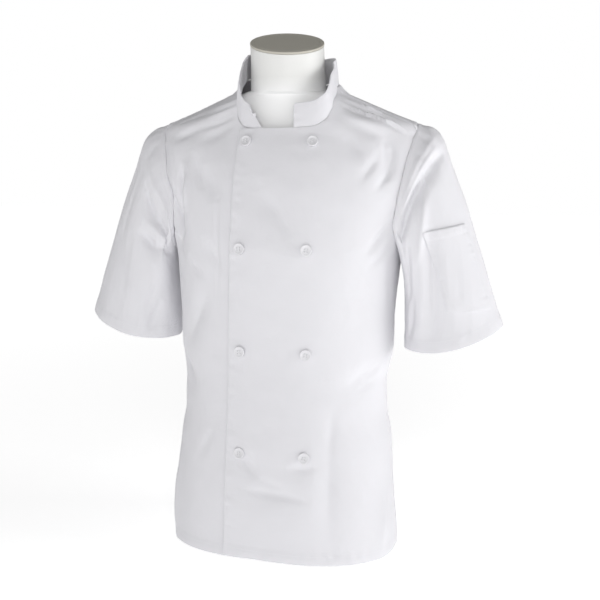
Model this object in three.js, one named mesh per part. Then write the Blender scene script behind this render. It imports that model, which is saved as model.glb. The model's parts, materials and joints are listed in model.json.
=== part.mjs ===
// A short-sleeved, double-breasted chef jacket worn by a limbless torso form.
// Millimetres, +Z up. The front faces -Y and the wearer's left is +X.
// The origin is the middle of the form's flat base.
import * as THREE from "three";

const UP = new THREE.Vector3(0, 0, 1);
const { clamp, degToRad, lerp, radToDeg, smoothstep } = THREE.MathUtils;

// Rows of numbers with their columns named
function table(columns, rows) {
  return rows.map((row) => Object.fromEntries(columns.map((name, i) => [name, row[i]])));
}

// Cloth and gaps
const CLOTH = 1.8;
const COLLAR_CLOTH = 2.4;
const POCKET_CLOTH = 1.5;
const LAYER_GAP = 1.2;
const SEAM_GAP = 0.5;
const SLEEVE_PROUD = 0.5;
const COLLAR_LIFT = 0.5;
const REST_GAP = 1.65;

// Heights and lengths of the jacket
const ARMPIT = 492;
const HEM_LEVEL = 11;
const HEM_TILT = 5 / 190;
const SHOULDER_SEAM_TURN = 72;
const NECK_CORNER = { left: 743, right: 749 };
const SHOULDER_TIP = 680;
const BACK_NECK = 749;
const COLLAR_HEIGHT = { front: 36, back: 40, roundness: 0.7 };
const COLLAR_MIDDLE_Y = -8;
const COLLAR_LEAN = table(
  ["share", "lean"],
  [
    [0, 8],
    [0.5, 7],
    [0.78, 3],
    [1, 9],
  ],
);

// The collar's end on the wearer's right spreads back: how far, how soon up its height, how near its end
const COLLAR_SPREAD = { far: 28, rise: 1.1, reach: 8 };

// Both fronts cross the middle; the wearer's left one lies on top
const TOP_LAYER = { edgeTop: -60, edgeHem: -73, collarEnd: 27, topEdge: 684 };
const UNDER_LAYER = { edgeTop: -66, edgeHem: -70, collarEnd: 20, topEdge: 679 };
const STEP = { from: 85, to: 140, low: 687, high: 722 };

// Buttons, on the top layer
const BUTTON = { radius: 9, thick: 3, edge: 1, taper: 0.6, crown: 0.3, rim: 2.2, bowl: 0.8, dish: 0.8 };
const BUTTON_LIFT = 0.7;
const BUTTON_ROWS = [664, 503, 343, 182];
const BUTTON_COLUMNS = { left: 58, right: -46 };

// How finely the walls are divided
const LOWER_ROWS = 14;
const UPPER_ROWS = 14;
const FRONT_COLUMNS = { collar: 4, neck: 9, all: 16 };
const BACK_COLUMNS = { neck: 5, all: 13 };
const TOP_FADE = 2.2;
const SLEEVE_ROWS = 12;
const COLLAR_ROWS = 3;
const FORM_COLUMNS = 36;
const BUTTON_SEGMENTS = 20;
const CAP_SEGMENTS = 40;

// Steps, in degrees and millimetres, over which the direction that the body faces is measured
const FACING_STEP = { turn: 3, z: 6 };

// Level sections of the jacket's body: half width, then where the front, back and side lie in Y
const BODY = table(
  ["z", "half", "front", "back", "side", "square"],
  [
    [-13, 190, -160, 100, -30, 2.35],
    [37, 188, -158, 102, -29, 2.35],
    [87, 183, -157, 103, -28, 2.33],
    [187, 176, -150, 98, -26, 2.3],
    [237, 168, -145, 94, -25, 2.3],
    [283, 167, -142, 92, -24, 2.28],
    [337, 176, -140, 96, -20, 2.25],
    [387, 176, -140, 101, -17, 2.25],
    [437, 180, -140, 108, -12, 2.22],
    [492, 186, -139, 114, -8, 2.2],
    [537, 198, -134, 117, -4, 2.15],
    [587, 211, -124, 118, -1, 2.1],
    [627, 219, -112, 113, 2, 2.02],
    [657, 222, -100, 106, 4, 1.9],
    [677, 219, -91, 99, 5, 1.8],
    [687, 212, -87, 95, 5, 1.8],
    [693, 203, -85, 92, 5, 1.8],
    [707, 168, -80, 86, 5, 1.8],
    [744, 80, -73, 63, 5, 1.8],
    [752, 61, -70, 59, 5, 1.8],
    [762, 40, -64, 52, 5, 1.8],
  ],
);

// Neckline of each front beyond the collar's end, from the middle outwards
const FRONT_NECKLINE = {
  left: table(
    ["x", "z"],
    [
      [55, 687],
      [73, 696],
      [81, 711],
      [82, 728],
    ],
  ),
  right: table(
    ["x", "z"],
    [
      [52, 687],
      [64, 698],
      [69, 714],
      [69, 732],
    ],
  ),
};

// Neckline of the back, from the middle to each shoulder seam, by turn about the neck
const BACK_NECKLINE = {
  left: table(
    ["turn", "z"],
    [
      [180, BACK_NECK],
      [135, 749],
      [110, 747.5],
      [90, 745.5],
      [SHOULDER_SEAM_TURN, NECK_CORNER.left],
    ],
  ),
  right: table(
    ["turn", "z"],
    [
      [180, BACK_NECK],
      [135, 751.5],
      [110, 751.5],
      [90, 750.5],
      [SHOULDER_SEAM_TURN, NECK_CORNER.right],
    ],
  ),
};

// Armholes from the underarm to the shoulder seam
const FRONT_ARMHOLE = table(
  ["turn", "z"],
  [
    [90, ARMPIT],
    [74, 507],
    [63, 542],
    [61, 587],
    [62, 632],
    [67, 667],
    [SHOULDER_SEAM_TURN, SHOULDER_TIP],
  ],
);
const BACK_ARMHOLE = table(
  ["turn", "z"],
  [
    [90, ARMPIT],
    [106, 507],
    [117, 542],
    [120, 587],
    [117, 637],
    [110, 675],
    [101, 688],
    [90, 691.5],
    [80, 689.5],
    [SHOULDER_SEAM_TURN, SHOULDER_TIP],
  ],
);

// Folds of the body, from one end to the other by turn and height; depth is inwards, a ridge is negative
const TURN_MM = 2.8;
const FOLD_END = 0.35;
const BODY_FOLDS = table(
  ["turnA", "zA", "turnB", "zB", "depth", "width"],
  [
    [-46, 632, -56, 514, 6, 15],
    [-31, 632, -25, 570, 4, 16],
    [-62, 590, -52, 510, 5, 15],
    [50, 672, 52, 602, 7, 15],
    [-4, 592, 9, 519, 3, 20],
    [-14, 184, -2, 146, 3, 18],
    [8, 163, 21, 164, 3, 18],
    [-6, 127, 15, 115, 3, 18],
    [31, 235, 28, 30, 4, 22],
    [-34, 427, -52, 350, 4, 18],
    [66, 320, 42, 290, 4, 18],
    [-72, 320, -50, 280, 5, 18],
    [74, 120, 64, 15, -6, 20],
    [-70, 140, -62, 15, -6, 20],
    [130, 550, 140, 410, 6, 20],
    [-128, 560, -142, 390, 6, 22],
    [160, 320, 130, 280, 6, 18],
    [-160, 310, -128, 290, 6, 20],
    [172, 230, 166, 40, -5, 24],
    [-150, 190, -146, 25, -6, 22],
    [140, 200, 146, 35, -6, 22],
    [150, 650, 128, 600, 4, 18],
    [-150, 640, -128, 590, 4, 18],
  ],
);

// Sleeves: cuff ring, and how the cloth leaves the armhole at the top and underarm
const CUFF = { x: 271, y: -5, z: 357, wide: 80, deep: 58, tilt: 15, dip: 0.22 };
const CAP_BULGE = { size: 10, at: 0.17, spread: 0.13, full: 0.1, x: 0.77, z: 0.64 };
const FOLD_EASE = 0.12;
const LEAVE = { x: [0.6, 0.32], y: -0.3, z: [-0.675, 0.285], reach: [50, 14] };
const ARRIVE = { x: [-0.19, -0.15], z: 0.97, reach: [100, 50] };
const DOWN_MM = 250;
const AROUND_MM = 1.3;

// Folds of each sleeve by turn about the arm (0 top, 90 front, 180 underarm) and way down from 0 to 1
const SLEEVE_FOLDS = {
  left: table(
    ["turnA", "downA", "turnB", "downB", "depth", "width"],
    [
      [26, 0.24, 52, 0.2, 8, 14],
      [52, 0.2, 84, 0.18, 9, 14],
      [84, 0.18, 124, 0.18, 9, 14],
      [124, 0.18, 140, 0.6, 6, 15],
      [79, 0.45, 111, 0.93, 4, 15],
      [66, 0.25, 99, 0.42, -4, 14],
      [-50, 0.14, -96, 0.26, 6, 16],
      [-96, 0.26, -124, 0.8, 6, 16],
      [-40, 0.5, -56, 0.95, -4, 20],
    ],
  ),
  right: table(
    ["turnA", "downA", "turnB", "downB", "depth", "width"],
    [
      [60, 0.27, 90, 0.29, 6, 14],
      [90, 0.29, 142, 0.17, 8, 14],
      [80, 0.46, 104, 0.42, 6, 13],
      [104, 0.42, 150, 0.19, 8, 13],
      [136, 0.66, 118, 0.97, 7, 16],
      [28, 0.6, 74, 0.7, 4, 18],
      [-60, 0.14, -112, 0.28, 6, 16],
      [-112, 0.28, -128, 0.85, 6, 15],
      [-24, 0.55, -62, 0.72, 4, 20],
    ],
  ),
};

// Pocket on the wearer's left sleeve: the columns of cloth it covers, the heights of its mouth and foot
const POCKET = { from: 8, to: 13, mouthInner: 528, mouthOuter: 540, bottom: 407, lift: 0.6, rows: 5 };

// Level sections of the torso form up to its shoulders
const FORM = table(
  ["z", "half", "front", "back", "side", "square"],
  [
    [0, 158, -108, 84, -14, 2.2],
    [87, 163, -116, 90, -14, 2.2],
    [187, 155, -118, 86, -14, 2.2],
    [277, 143, -106, 80, -10, 2.2],
    [367, 152, -108, 90, -6, 2.2],
    [437, 163, -112, 99, -2, 2.2],
    [492, 172, -114, 104, 0, 2.15],
    [547, 185, -112, 107, 0, 2.1],
    [587, 197, -108, 107, 1, 2.05],
    [627, 209, -99, 103, 3, 2],
    [652, 215, -90, 97, 4, 1.9],
  ],
);

// Shoulders of the form follow the jacket's: height, front and back, under a slope of so many degrees
const SHOULDER_FIT = { slope: 23, inset: 0.3, side: 5, square: 1.8 };
const FORM_SHOULDERS = table(
  ["z", "front", "back"],
  [
    [671, -80, 85],
    [680, -74, 78],
    [686, -71, 73],
    [691, -70, 70],
    [705, -67, 67],
    [723, -65, 61],
    [736, -64, 54],
  ],
);

// Neck of the form: middle, radius and tilt of each ring; it leans forward, a little to the wearer's left
const NECK = table(
  ["y", "z", "radius", "tilt"],
  [
    [-9, 743.5, 60, 4],
    [-10, 762, 59.5, 9],
    [-13, 782, 58.5, 15],
    [-18, 813, 58, 20],
  ],
);
const NECK_TURN = 14;
const NECK_CAP = { radius: 58.5, thick: 4, edge: 1, gap: 0.3 };

// A smooth curve, with no overshoot, through one column of a table
function curve(rows, key, value) {
  const x = rows.map((row) => row[key]);
  const y = rows.map((row) => row[value]);
  const steep = x.slice(1).map((next, i) => (y[i + 1] - y[i]) / (next - x[i]));
  const slope = x.map((at, i) => {
    const before = steep[Math.max(i - 1, 0)];
    const after = steep[Math.min(i, steep.length - 1)];
    return before * after <= 0 ? 0 : (2 * before * after) / (before + after);
  });
  return (at) => {
    let i = 0;
    while (i < x.length - 2 && at > x[i + 1]) i += 1;
    const step = x[i + 1] - x[i];
    const f = clamp((at - x[i]) / step, 0, 1);
    const g = 1 - f;
    const ends = g * g * (1 + 2 * f) * y[i] + f * f * (1 + 2 * g) * y[i + 1];
    return ends + step * f * g * (g * slope[i] - f * slope[i + 1]);
  };
}

// A tube of rounded-square sections; a point on it is found by turn, in degrees from the front, and height
function tube(rows) {
  const [half, front, back, side, square] = ["half", "front", "back", "side", "square"].map((name) =>
    curve(rows, "z", name),
  );
  const point = (turn, z) => {
    const power = 2 / square(z);
    const across = Math.sin(degToRad(turn));
    const along = Math.cos(degToRad(turn));
    const depth = (along > 0 ? front(z) : back(z)) - side(z);
    const x = half(z) * Math.sign(across) * Math.abs(across) ** power;
    return new THREE.Vector3(x, side(z) + depth * Math.abs(along) ** power, z);
  };
  const normal = (turn, z) => {
    const around = point(turn + FACING_STEP.turn, z).sub(point(turn - FACING_STEP.turn, z));
    const upward = point(turn, z + FACING_STEP.z).sub(point(turn, z - FACING_STEP.z));
    return around.cross(upward).normalize();
  };
  const turnAt = (x, z) => {
    const share = clamp(Math.abs(x) / half(z), 0, 1);
    return Math.sign(x) * radToDeg(Math.asin(share ** (square(z) / 2)));
  };
  return { point, normal, turnAt, half };
}

const body = tube(BODY);

// How far folds press the cloth in at a place, both axes in millimetres from each fold's ends
function foldDepth(folds, a, b) {
  return folds.reduce((sum, fold) => {
    const ahead = fold.b.clone().sub(fold.a);
    const here = new THREE.Vector2(a, b).sub(fold.a);
    const along = clamp(here.dot(ahead) / ahead.lengthSq(), 0, 1);
    const off = here.distanceTo(ahead.clone().multiplyScalar(along));
    const fade = lerp(FOLD_END, 1, Math.sin(Math.PI * along));
    return sum + fold.depth * fade * Math.exp(-((off / fold.width) ** 2));
  }, 0);
}

const bodyFolds = BODY_FOLDS.map((row) => ({
  a: new THREE.Vector2(row.turnA * TURN_MM, row.zA),
  b: new THREE.Vector2(row.turnB * TURN_MM, row.zB),
  depth: row.depth,
  width: row.width,
}));

const sleeveFolds = (rows) =>
  rows.map((row) => ({
    a: new THREE.Vector2(row.turnA * AROUND_MM, row.downA * DOWN_MM),
    b: new THREE.Vector2(row.turnB * AROUND_MM, row.downB * DOWN_MM),
    depth: row.depth,
    width: row.width,
  }));

// One closed wall between an outer and an inner grid of points; a ring joins its last column to its first
function wall(outer, inner, ring = false) {
  const rows = outer.length;
  const columns = outer[0].length;
  const points = [...outer.flat(), ...inner.flat()];
  const at = (layer, row, column) => (layer * rows + row) * columns + (column % columns);
  const faces = [];
  const quad = (a, b, c, d) => faces.push([a, b, c], [a, c, d]);
  const spans = ring ? columns : columns - 1;
  const top = rows - 1;
  const last = columns - 1;
  for (let c = 0; c < spans; c += 1) {
    for (let r = 0; r < top; r += 1) {
      quad(at(0, r, c), at(0, r, c + 1), at(0, r + 1, c + 1), at(0, r + 1, c));
      quad(at(1, r, c), at(1, r + 1, c), at(1, r + 1, c + 1), at(1, r, c + 1));
    }
    quad(at(0, 0, c + 1), at(0, 0, c), at(1, 0, c), at(1, 0, c + 1));
    quad(at(0, top, c), at(0, top, c + 1), at(1, top, c + 1), at(1, top, c));
  }
  for (let r = 0; r < top && !ring; r += 1) {
    quad(at(0, r, 0), at(0, r + 1, 0), at(1, r + 1, 0), at(1, r, 0));
    quad(at(0, r + 1, last), at(0, r, last), at(1, r, last), at(1, r + 1, last));
  }
  return faceted(points, faces);
}

// One closed solid through a stack of rings, shut by a flat face at each end
function stack(rings) {
  const count = rings[0].length;
  const middle = (ring) => ring.reduce((sum, p) => sum.add(p), new THREE.Vector3()).divideScalar(count);
  const points = [...rings.flat(), middle(rings[0]), middle(rings.at(-1))];
  const bottom = rings.length * count;
  const lastRing = bottom - count;
  const faces = [];
  for (let c = 0; c < count; c += 1) {
    const next = (c + 1) % count;
    for (let r = 0; r < lastRing; r += count) {
      faces.push([r + c, r + next, r + count + next], [r + c, r + count + next, r + count + c]);
    }
    faces.push([next, c, bottom], [lastRing + c, lastRing + next, bottom + 1]);
  }
  return faceted(points, faces);
}

// Geometry from points and triangles, turned so that its faces point out
function faceted(points, faces) {
  const volume = faces.reduce((sum, [a, b, c]) => {
    return sum + points[a].dot(points[b].clone().cross(points[c]));
  }, 0);
  const order = volume < 0 ? faces.map(([a, b, c]) => [a, c, b]) : faces;
  const geometry = new THREE.BufferGeometry().setFromPoints(points);
  geometry.setIndex(order.flat());
  geometry.computeVertexNormals();
  return geometry;
}

// A smooth route over the body through places given by turn and height, read from 0 to 1 along its length
function route(places) {
  let length = 0;
  const rows = places.map((place, i) => {
    const before = places[Math.max(i - 1, 0)];
    length += body.point(place.turn, place.z).distanceTo(body.point(before.turn, before.z));
    return { ...place, length };
  });
  const turn = curve(rows, "length", "turn");
  const z = curve(rows, "length", "z");
  return (share) => ({ turn: turn(share * length), z: z(share * length) });
}

// Two routes end to end, the first one taking up the given share
function chain(first, second, share) {
  return (u) => (u <= share ? first(u / share) : second((u - share) / (1 - share)));
}

// A patch stretched between four routes that meet at its corners; the top route's own shape dies away
// quickly below it, so that the cells stay wide beside the armhole
function patch(bottom, top, left, right) {
  return (u, v) => {
    const mix = (name) => {
      const level = lerp(left(v)[name], right(v)[name], u);
      const low = bottom(u)[name] - lerp(bottom(0)[name], bottom(1)[name], u);
      const high = top(u)[name] - lerp(top(0)[name], top(1)[name], u);
      return level + low * (1 - v) + high * v ** TOP_FADE;
    };
    return { turn: mix("turn"), z: mix("z") };
  };
}

const hemAt = (x) => HEM_LEVEL - HEM_TILT * x;
const nameOf = (side) => (side > 0 ? "left" : "right");
const shares = (count) => Array.from({ length: count + 1 }, (_, i) => i / count);

// A panel's net of places: straight rows from the hem to the underarm, then a patch up to its top edge
function net(side, columns, edgeTurn, edge, top, armhole) {
  const bottom = (u) => ({ turn: lerp(edgeTurn(ARMPIT), 90, u), z: ARMPIT });
  const upper = patch(bottom, top, edge, armhole);
  const low = shares(LOWER_ROWS).map((v) =>
    shares(columns).map((u) => {
      const turn = lerp(edgeTurn(lerp(HEM_LEVEL, ARMPIT, v)), 90, u);
      const hem = hemAt(side * body.point(turn, HEM_LEVEL).x);
      return { turn: side * turn, z: lerp(hem, ARMPIT, v) };
    }),
  );
  const high = shares(UPPER_ROWS).map((v) =>
    shares(columns).map((u) => {
      const place = upper(u, v);
      return { turn: side * place.turn, z: place.z };
    }),
  );
  return [...low, ...high.slice(1)];
}

// Half of the fronts: from the edge that crosses the middle out to the side seam
function frontNet(side, layer) {
  const edgeX = (z) => lerp(layer.edgeHem, layer.edgeTop, clamp(z / layer.topEdge, 0, 1));
  const edgeTurn = (z) => body.turnAt(edgeX(z), z);
  const edge = (v) => {
    const z = lerp(ARMPIT, layer.topEdge, v);
    return { turn: edgeTurn(z), z };
  };
  const place = (x, z) => ({ turn: body.turnAt(x, z), z });
  const collarEnd = place(layer.collarEnd, layer.topEdge + 1);
  const neckCorner = { turn: SHOULDER_SEAM_TURN, z: NECK_CORNER[nameOf(side)] };
  const topEdge = route([place(layer.edgeTop, layer.topEdge), place(-20, layer.topEdge), collarEnd]);
  const curved = FRONT_NECKLINE[nameOf(side)].map((row) => place(row.x, row.z));
  const neckline = route([collarEnd, ...curved, neckCorner]);
  const shoulder = route([neckCorner, { turn: SHOULDER_SEAM_TURN, z: SHOULDER_TIP }]);
  const { collar, neck, all } = FRONT_COLUMNS;
  const top = chain(chain(topEdge, neckline, collar / neck), shoulder, neck / all);
  return net(side, all, edgeTurn, edge, top, route(FRONT_ARMHOLE));
}

// Half of the back: from the middle out to the side seam
function backNet(side) {
  const edge = (v) => ({ turn: 180, z: lerp(ARMPIT, BACK_NECK, v) });
  const neckCorner = { turn: SHOULDER_SEAM_TURN, z: NECK_CORNER[nameOf(side)] };
  const shoulder = route([neckCorner, { turn: SHOULDER_SEAM_TURN, z: SHOULDER_TIP }]);
  const { neck, all } = BACK_COLUMNS;
  const top = chain(route(BACK_NECKLINE[nameOf(side)]), shoulder, neck / all);
  return net(side, all, () => 180, edge, top, route(BACK_ARMHOLE));
}

// The lower of the two fronts lies one cloth and a gap deeper where the other covers it
function stepIn(place) {
  const x = Math.abs(Math.min(body.point(place.turn, place.z).x, 0));
  const outward = 1 - smoothstep(x, STEP.from, STEP.to);
  return (CLOTH + LAYER_GAP) * outward * (1 - smoothstep(place.z, STEP.low, STEP.high));
}

// The outer skin of a net: each point with the direction the cloth faces there
function skin(places, sink = () => 0) {
  return places.map((row) =>
    row.map((place) => {
      const normal = body.normal(place.turn, place.z);
      const depth = foldDepth(bodyFolds, place.turn * TURN_MM, place.z) + sink(place);
      return { normal, point: body.point(place.turn, place.z).addScaledVector(normal, -depth) };
    }),
  );
}

// The direction from an edge's knot towards the inside of its panel, in the cloth and square to the edge
function inward(knot, inside, before, after) {
  const along = after.point.clone().sub(before.point);
  const way = along.cross(knot.normal).normalize();
  const towards = way.dot(inside.point.clone().sub(knot.point)) > 0;
  return towards ? way : way.negate();
}

// Edges drawn in by half a seam's gap
function trimmed(grid) {
  const top = grid.length - 1;
  const last = grid[0].length - 1;
  return grid.map((row, r) =>
    row.map((knot, c) => {
      const point = knot.point.clone();
      const [left, right] = [row[Math.max(c - 1, 0)], row[Math.min(c + 1, last)]];
      const [below, above] = [grid[Math.max(r - 1, 0)][c], grid[Math.min(r + 1, top)][c]];
      const draw = (inside, before, after) => {
        point.addScaledVector(inward(knot, inside, before, after), SEAM_GAP / 2);
      };
      if (r === top) draw(below, left, right);
      if (c === 0) draw(right, below, above);
      if (c === last) draw(left, below, above);
      return { ...knot, point };
    }),
  );
}

const outerOf = (grid) => grid.map((row) => row.map((knot) => knot.point));
const innerOf = (grid, thick) =>
  grid.map((row) => row.map((knot) => knot.point.clone().addScaledVector(knot.normal, -thick)));

const panel = (grid) => wall(outerOf(trimmed(grid)), innerOf(trimmed(grid), CLOTH));

const leftFront = skin(frontNet(1, TOP_LAYER));
const rightFront = skin(frontNet(-1, UNDER_LAYER), stepIn);
const backHalves = [skin(backNet(1)), skin(backNet(-1))];
const back = backHalves[0].map((row, r) => [...row.slice(1).reverse(), ...backHalves[1][r]]);

// The armhole's loop: up the front, over the shoulder and down the back, with the way across the seam
function armhole(front, rear) {
  const rim = (grid) => {
    const rows = grid.slice(LOWER_ROWS);
    return rows.map((row, r) => {
      const knot = row.at(-1);
      const before = rows[Math.max(r - 1, 0)].at(-1);
      const after = rows[Math.min(r + 1, rows.length - 1)].at(-1);
      return { ...knot, across: inward(knot, row.at(-2), before, after).negate() };
    });
  };
  return [...rim(front), ...rim(rear).reverse().slice(1, -1)];
}

// Turns about the arm for the loop's points: 180 at the underarm, 90 in front, 0 on top, -90 behind
function armTurns(loop) {
  const count = loop.length;
  let length = 0;
  const lengths = loop.map((knot, i) => {
    length += i === 0 ? 0 : knot.point.distanceTo(loop[i - 1].point);
    return length;
  });
  length += loop[0].point.distanceTo(loop[count - 1].point);
  const top = loop.reduce((best, knot, i) => (knot.point.z > loop[best].point.z ? i : best), 0);
  return lengths.map((at) =>
    at <= lengths[top]
      ? 180 * (1 - at / lengths[top])
      : (-180 * (at - lengths[top])) / (length - lengths[top]),
  );
}

// A value that swings to either side of its middle as the turn about the arm goes from top to underarm
const swinging = ([middle, swing], c) => middle + swing * c;

// A sleeve's outer skin: curves from the armhole to the cuff, in the wearer's left sleeve's frame
function sleevePoint(start, turn, down) {
  const c = Math.cos(degToRad(turn));
  const s = Math.sin(degToRad(turn));
  const tilt = degToRad(CUFF.tilt);
  const cuff = new THREE.Vector3(
    CUFF.x + CUFF.wide * c * Math.cos(tilt),
    CUFF.y - CUFF.deep * s,
    CUFF.z + CUFF.wide * c * Math.sin(tilt) - CUFF.deep * CUFF.dip * Math.abs(s) * s,
  );
  const leave = new THREE.Vector3(swinging(LEAVE.x, c), LEAVE.y * s, swinging(LEAVE.z, c));
  const arrive = new THREE.Vector3(swinging(ARRIVE.x, c), 0, ARRIVE.z);
  const near = start.clone().addScaledVector(leave, swinging(LEAVE.reach, c));
  const far = cuff.clone().addScaledVector(arrive, swinging(ARRIVE.reach, c));
  const path = new THREE.CubicBezierCurve3(start, near, far, cuff);
  const bell = Math.exp(-(((down - CAP_BULGE.at) / CAP_BULGE.spread) ** 2));
  const swell = CAP_BULGE.size * Math.max(c, 0) ** 2 * bell * smoothstep(down, 0, CAP_BULGE.full);
  return path.getPoint(down).add(new THREE.Vector3(CAP_BULGE.x, 0, CAP_BULGE.z).multiplyScalar(swell));
}

const mirrorX = (v) => new THREE.Vector3(-v.x, v.y, v.z);

// A sleeve as knots in rows down the arm, its first row just across the armhole's seam
function sleeve(side, loop, folds) {
  const own = (v) => (side < 0 ? mirrorX(v) : v.clone());
  const turns = armTurns(loop);
  const starts = loop.map((knot) => {
    const beyond = knot.point.clone().addScaledVector(knot.across, SEAM_GAP / 2);
    return own(beyond.addScaledVector(knot.normal, SLEEVE_PROUD));
  });
  const rows = shares(SLEEVE_ROWS).map((down) =>
    starts.map((start, i) => sleevePoint(start, turns[i], down)),
  );
  const count = loop.length;
  return rows.map((row, r) =>
    row.map((point, i) => {
      const around = row[(i + 1) % count].clone().sub(row[(i + count - 1) % count]);
      const along = rows[Math.min(r + 1, SLEEVE_ROWS)][i].clone().sub(rows[Math.max(r - 1, 0)][i]);
      const normal = along.cross(around).normalize();
      const depth = foldDepth(folds, turns[i] * AROUND_MM, (r / SLEEVE_ROWS) * DOWN_MM);
      const ease = smoothstep(r / SLEEVE_ROWS, 0, FOLD_EASE);
      const placed = own(point.clone().addScaledVector(normal, -depth * ease));
      const facing = own(normal);
      return { point: placed, normal: r === 0 ? facing.add(loop[i].normal).normalize() : facing };
    }),
  );
}

const leftSleeve = sleeve(1, armhole(leftFront, backHalves[0]), sleeveFolds(SLEEVE_FOLDS.left));
const rightSleeve = sleeve(-1, armhole(rightFront, backHalves[1]), sleeveFolds(SLEEVE_FOLDS.right));
const sleeveWall = (grid) => wall(outerOf(grid), innerOf(grid, CLOTH), true);

// The pocket lies on the sleeve's own columns, moved out
function pocketWall(grid) {
  const knotAt = (column, z) => {
    let row = 0;
    while (grid[row + 1][column].point.z > z) row += 1;
    const high = grid[row][column];
    const low = grid[row + 1][column];
    const f = (high.point.z - z) / (high.point.z - low.point.z);
    return {
      point: high.point.clone().lerp(low.point, f),
      normal: high.normal.clone().lerp(low.normal, f).normalize(),
    };
  };
  const width = POCKET.to - POCKET.from;
  const knots = shares(POCKET.rows).map((v) =>
    shares(width).map((u) => {
      const mouth = lerp(POCKET.mouthInner, POCKET.mouthOuter, u);
      return knotAt(POCKET.from + Math.round(u * width), lerp(mouth, POCKET.bottom, v));
    }),
  );
  return wall(innerOf(knots, -POCKET.lift - POCKET_CLOTH), innerOf(knots, -POCKET.lift));
}

// The neckline's points, from the collar's end on the wearer's left round the back to the other end
function neckline() {
  const { collar, neck } = FRONT_COLUMNS;
  const rim = (grid) => grid.at(-1).map((knot) => knot.point);
  const left = rim(leftFront).slice(collar, neck + 1);
  const right = rim(rightFront).slice(collar, neck + 1);
  const { neck: half, all } = BACK_COLUMNS;
  const rear = rim(back).slice(all - half + 1, all + half);
  return [...left, ...rear, ...right.reverse()];
}

// The collar stands on the neckline and leans in; its end on the wearer's right spreads back
function collarWall() {
  const line = neckline();
  const curveAlong = new THREE.CatmullRomCurve3(line);
  const last = line.length - 1;
  const length = curveAlong.getLength();
  const leanAt = curve(COLLAR_LEAN, "share", "lean");
  const knots = shares(COLLAR_ROWS).map((v) =>
    line.map((foot, i) => {
      const u = i / last;
      const lean = degToRad(leanAt(u));
      const spread = (COLLAR_SPREAD.far / length) * v ** COLLAR_SPREAD.rise * u ** COLLAR_SPREAD.reach;
      const base = v === 0 ? foot.clone() : curveAlong.getPoint(Math.max(u - spread, 0));
      const out = new THREE.Vector3(base.x, base.y - COLLAR_MIDDLE_Y, 0).normalize();
      const middle = Math.sin(Math.PI * u) ** COLLAR_HEIGHT.roundness;
      const height = lerp(COLLAR_HEIGHT.front, COLLAR_HEIGHT.back, middle) * v;
      const point = base.clone().addScaledVector(UP, COLLAR_LIFT + height * Math.cos(lean));
      return { point: point.addScaledVector(out, -height * Math.sin(lean)), normal: out };
    }),
  );
  return wall(outerOf(knots), innerOf(knots, COLLAR_CLOTH));
}

// The turn that leans a level ring forward by some degrees
function leanTo(tilt) {
  const turn = degToRad(NECK_TURN);
  const axis = new THREE.Vector3(Math.cos(turn), Math.sin(turn), 0);
  return new THREE.Quaternion().setFromAxisAngle(axis, degToRad(tilt));
}

// The torso form: body sections, then shoulders just under the jacket's, then a neck that leans forward
function formSolid() {
  const torso = tube(FORM);
  const turns = shares(FORM_COLUMNS).slice(1).map((share) => 360 * share);
  const rings = FORM.map((row) => turns.map((turn) => torso.point(turn, row.z)));
  const { slope, inset, side, square } = SHOULDER_FIT;
  const drop = (CLOTH + REST_GAP) / Math.cos(degToRad(slope));
  const shoulders = tube(
    FORM_SHOULDERS.map((row) => ({ ...row, half: body.half(row.z + drop) - inset, side, square })),
  );
  const upper = FORM_SHOULDERS.map((row) => turns.map((turn) => shoulders.point(turn, row.z)));
  const neck = NECK.map((row) =>
    turns.map((turn) => {
      const a = degToRad(turn - 90);
      const flat = new THREE.Vector3(row.radius * Math.cos(a), row.radius * Math.sin(a), 0);
      return flat.applyQuaternion(leanTo(row.tilt)).add(new THREE.Vector3(0, row.y, row.z));
    }),
  );
  return stack([...rings, ...upper, ...neck]);
}

// A solid turned from a profile of radii and heights, standing upright on zero
function turned(profile, segments) {
  const points = profile.map(([r, h]) => new THREE.Vector2(r, h));
  return new THREE.LatheGeometry(points, segments).rotateX(Math.PI / 2);
}

function capGeometry() {
  const { radius, thick, edge } = NECK_CAP;
  const profile = [
    [0, 0],
    [radius - edge, 0],
    [radius, edge],
    [radius, thick - edge],
    [radius - edge, thick],
    [0, thick],
  ];
  return turned(profile, CAP_SEGMENTS);
}

// A button with a raised rim round a shallow dish
function buttonGeometry() {
  const { radius, thick, edge, taper, crown, rim, bowl, dish } = BUTTON;
  const profile = [
    [0, 0],
    [radius - edge, 0],
    [radius, edge],
    [radius - taper, thick - crown],
    [radius - rim, thick],
    [radius - rim - bowl, thick - dish],
    [0, thick - dish],
  ];
  return turned(profile, BUTTON_SEGMENTS);
}

// Colours and finishes
const finish = (color, roughness) => new THREE.MeshStandardMaterial({ color, roughness, metalness: 0 });
const COTTON = finish(0xf3f3f5, 0.85);
const FORM_WHITE = finish(0xe9e8e6, 0.6);
const CAP_GREY = finish(0x98968c, 0.7);
const BUTTON_WHITE = finish(0xf4f4f2, 0.35);

const jacket = new THREE.Group();

function piece(name, geometry, material) {
  const mesh = new THREE.Mesh(geometry, material);
  mesh.name = name;
  jacket.add(mesh);
  return mesh;
}

piece("torso_form", formSolid(), FORM_WHITE);
piece("front_left", panel(leftFront), COTTON);
piece("front_right", panel(rightFront), COTTON);
piece("back", panel(back), COTTON);
piece("sleeve_left", sleeveWall(leftSleeve), COTTON);
piece("sleeve_right", sleeveWall(rightSleeve), COTTON);
piece("sleeve_pocket", pocketWall(leftSleeve), COTTON);
piece("collar", collarWall(), COTTON);

// The cap closes the neck, square to the neck's own tilt
const neckTop = NECK.at(-1);
const cap = piece("neck_cap", capGeometry(), CAP_GREY);
cap.quaternion.copy(leanTo(neckTop.tilt));
cap.position.set(0, neckTop.y, neckTop.z);
cap.translateZ(NECK_CAP.gap);

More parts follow.
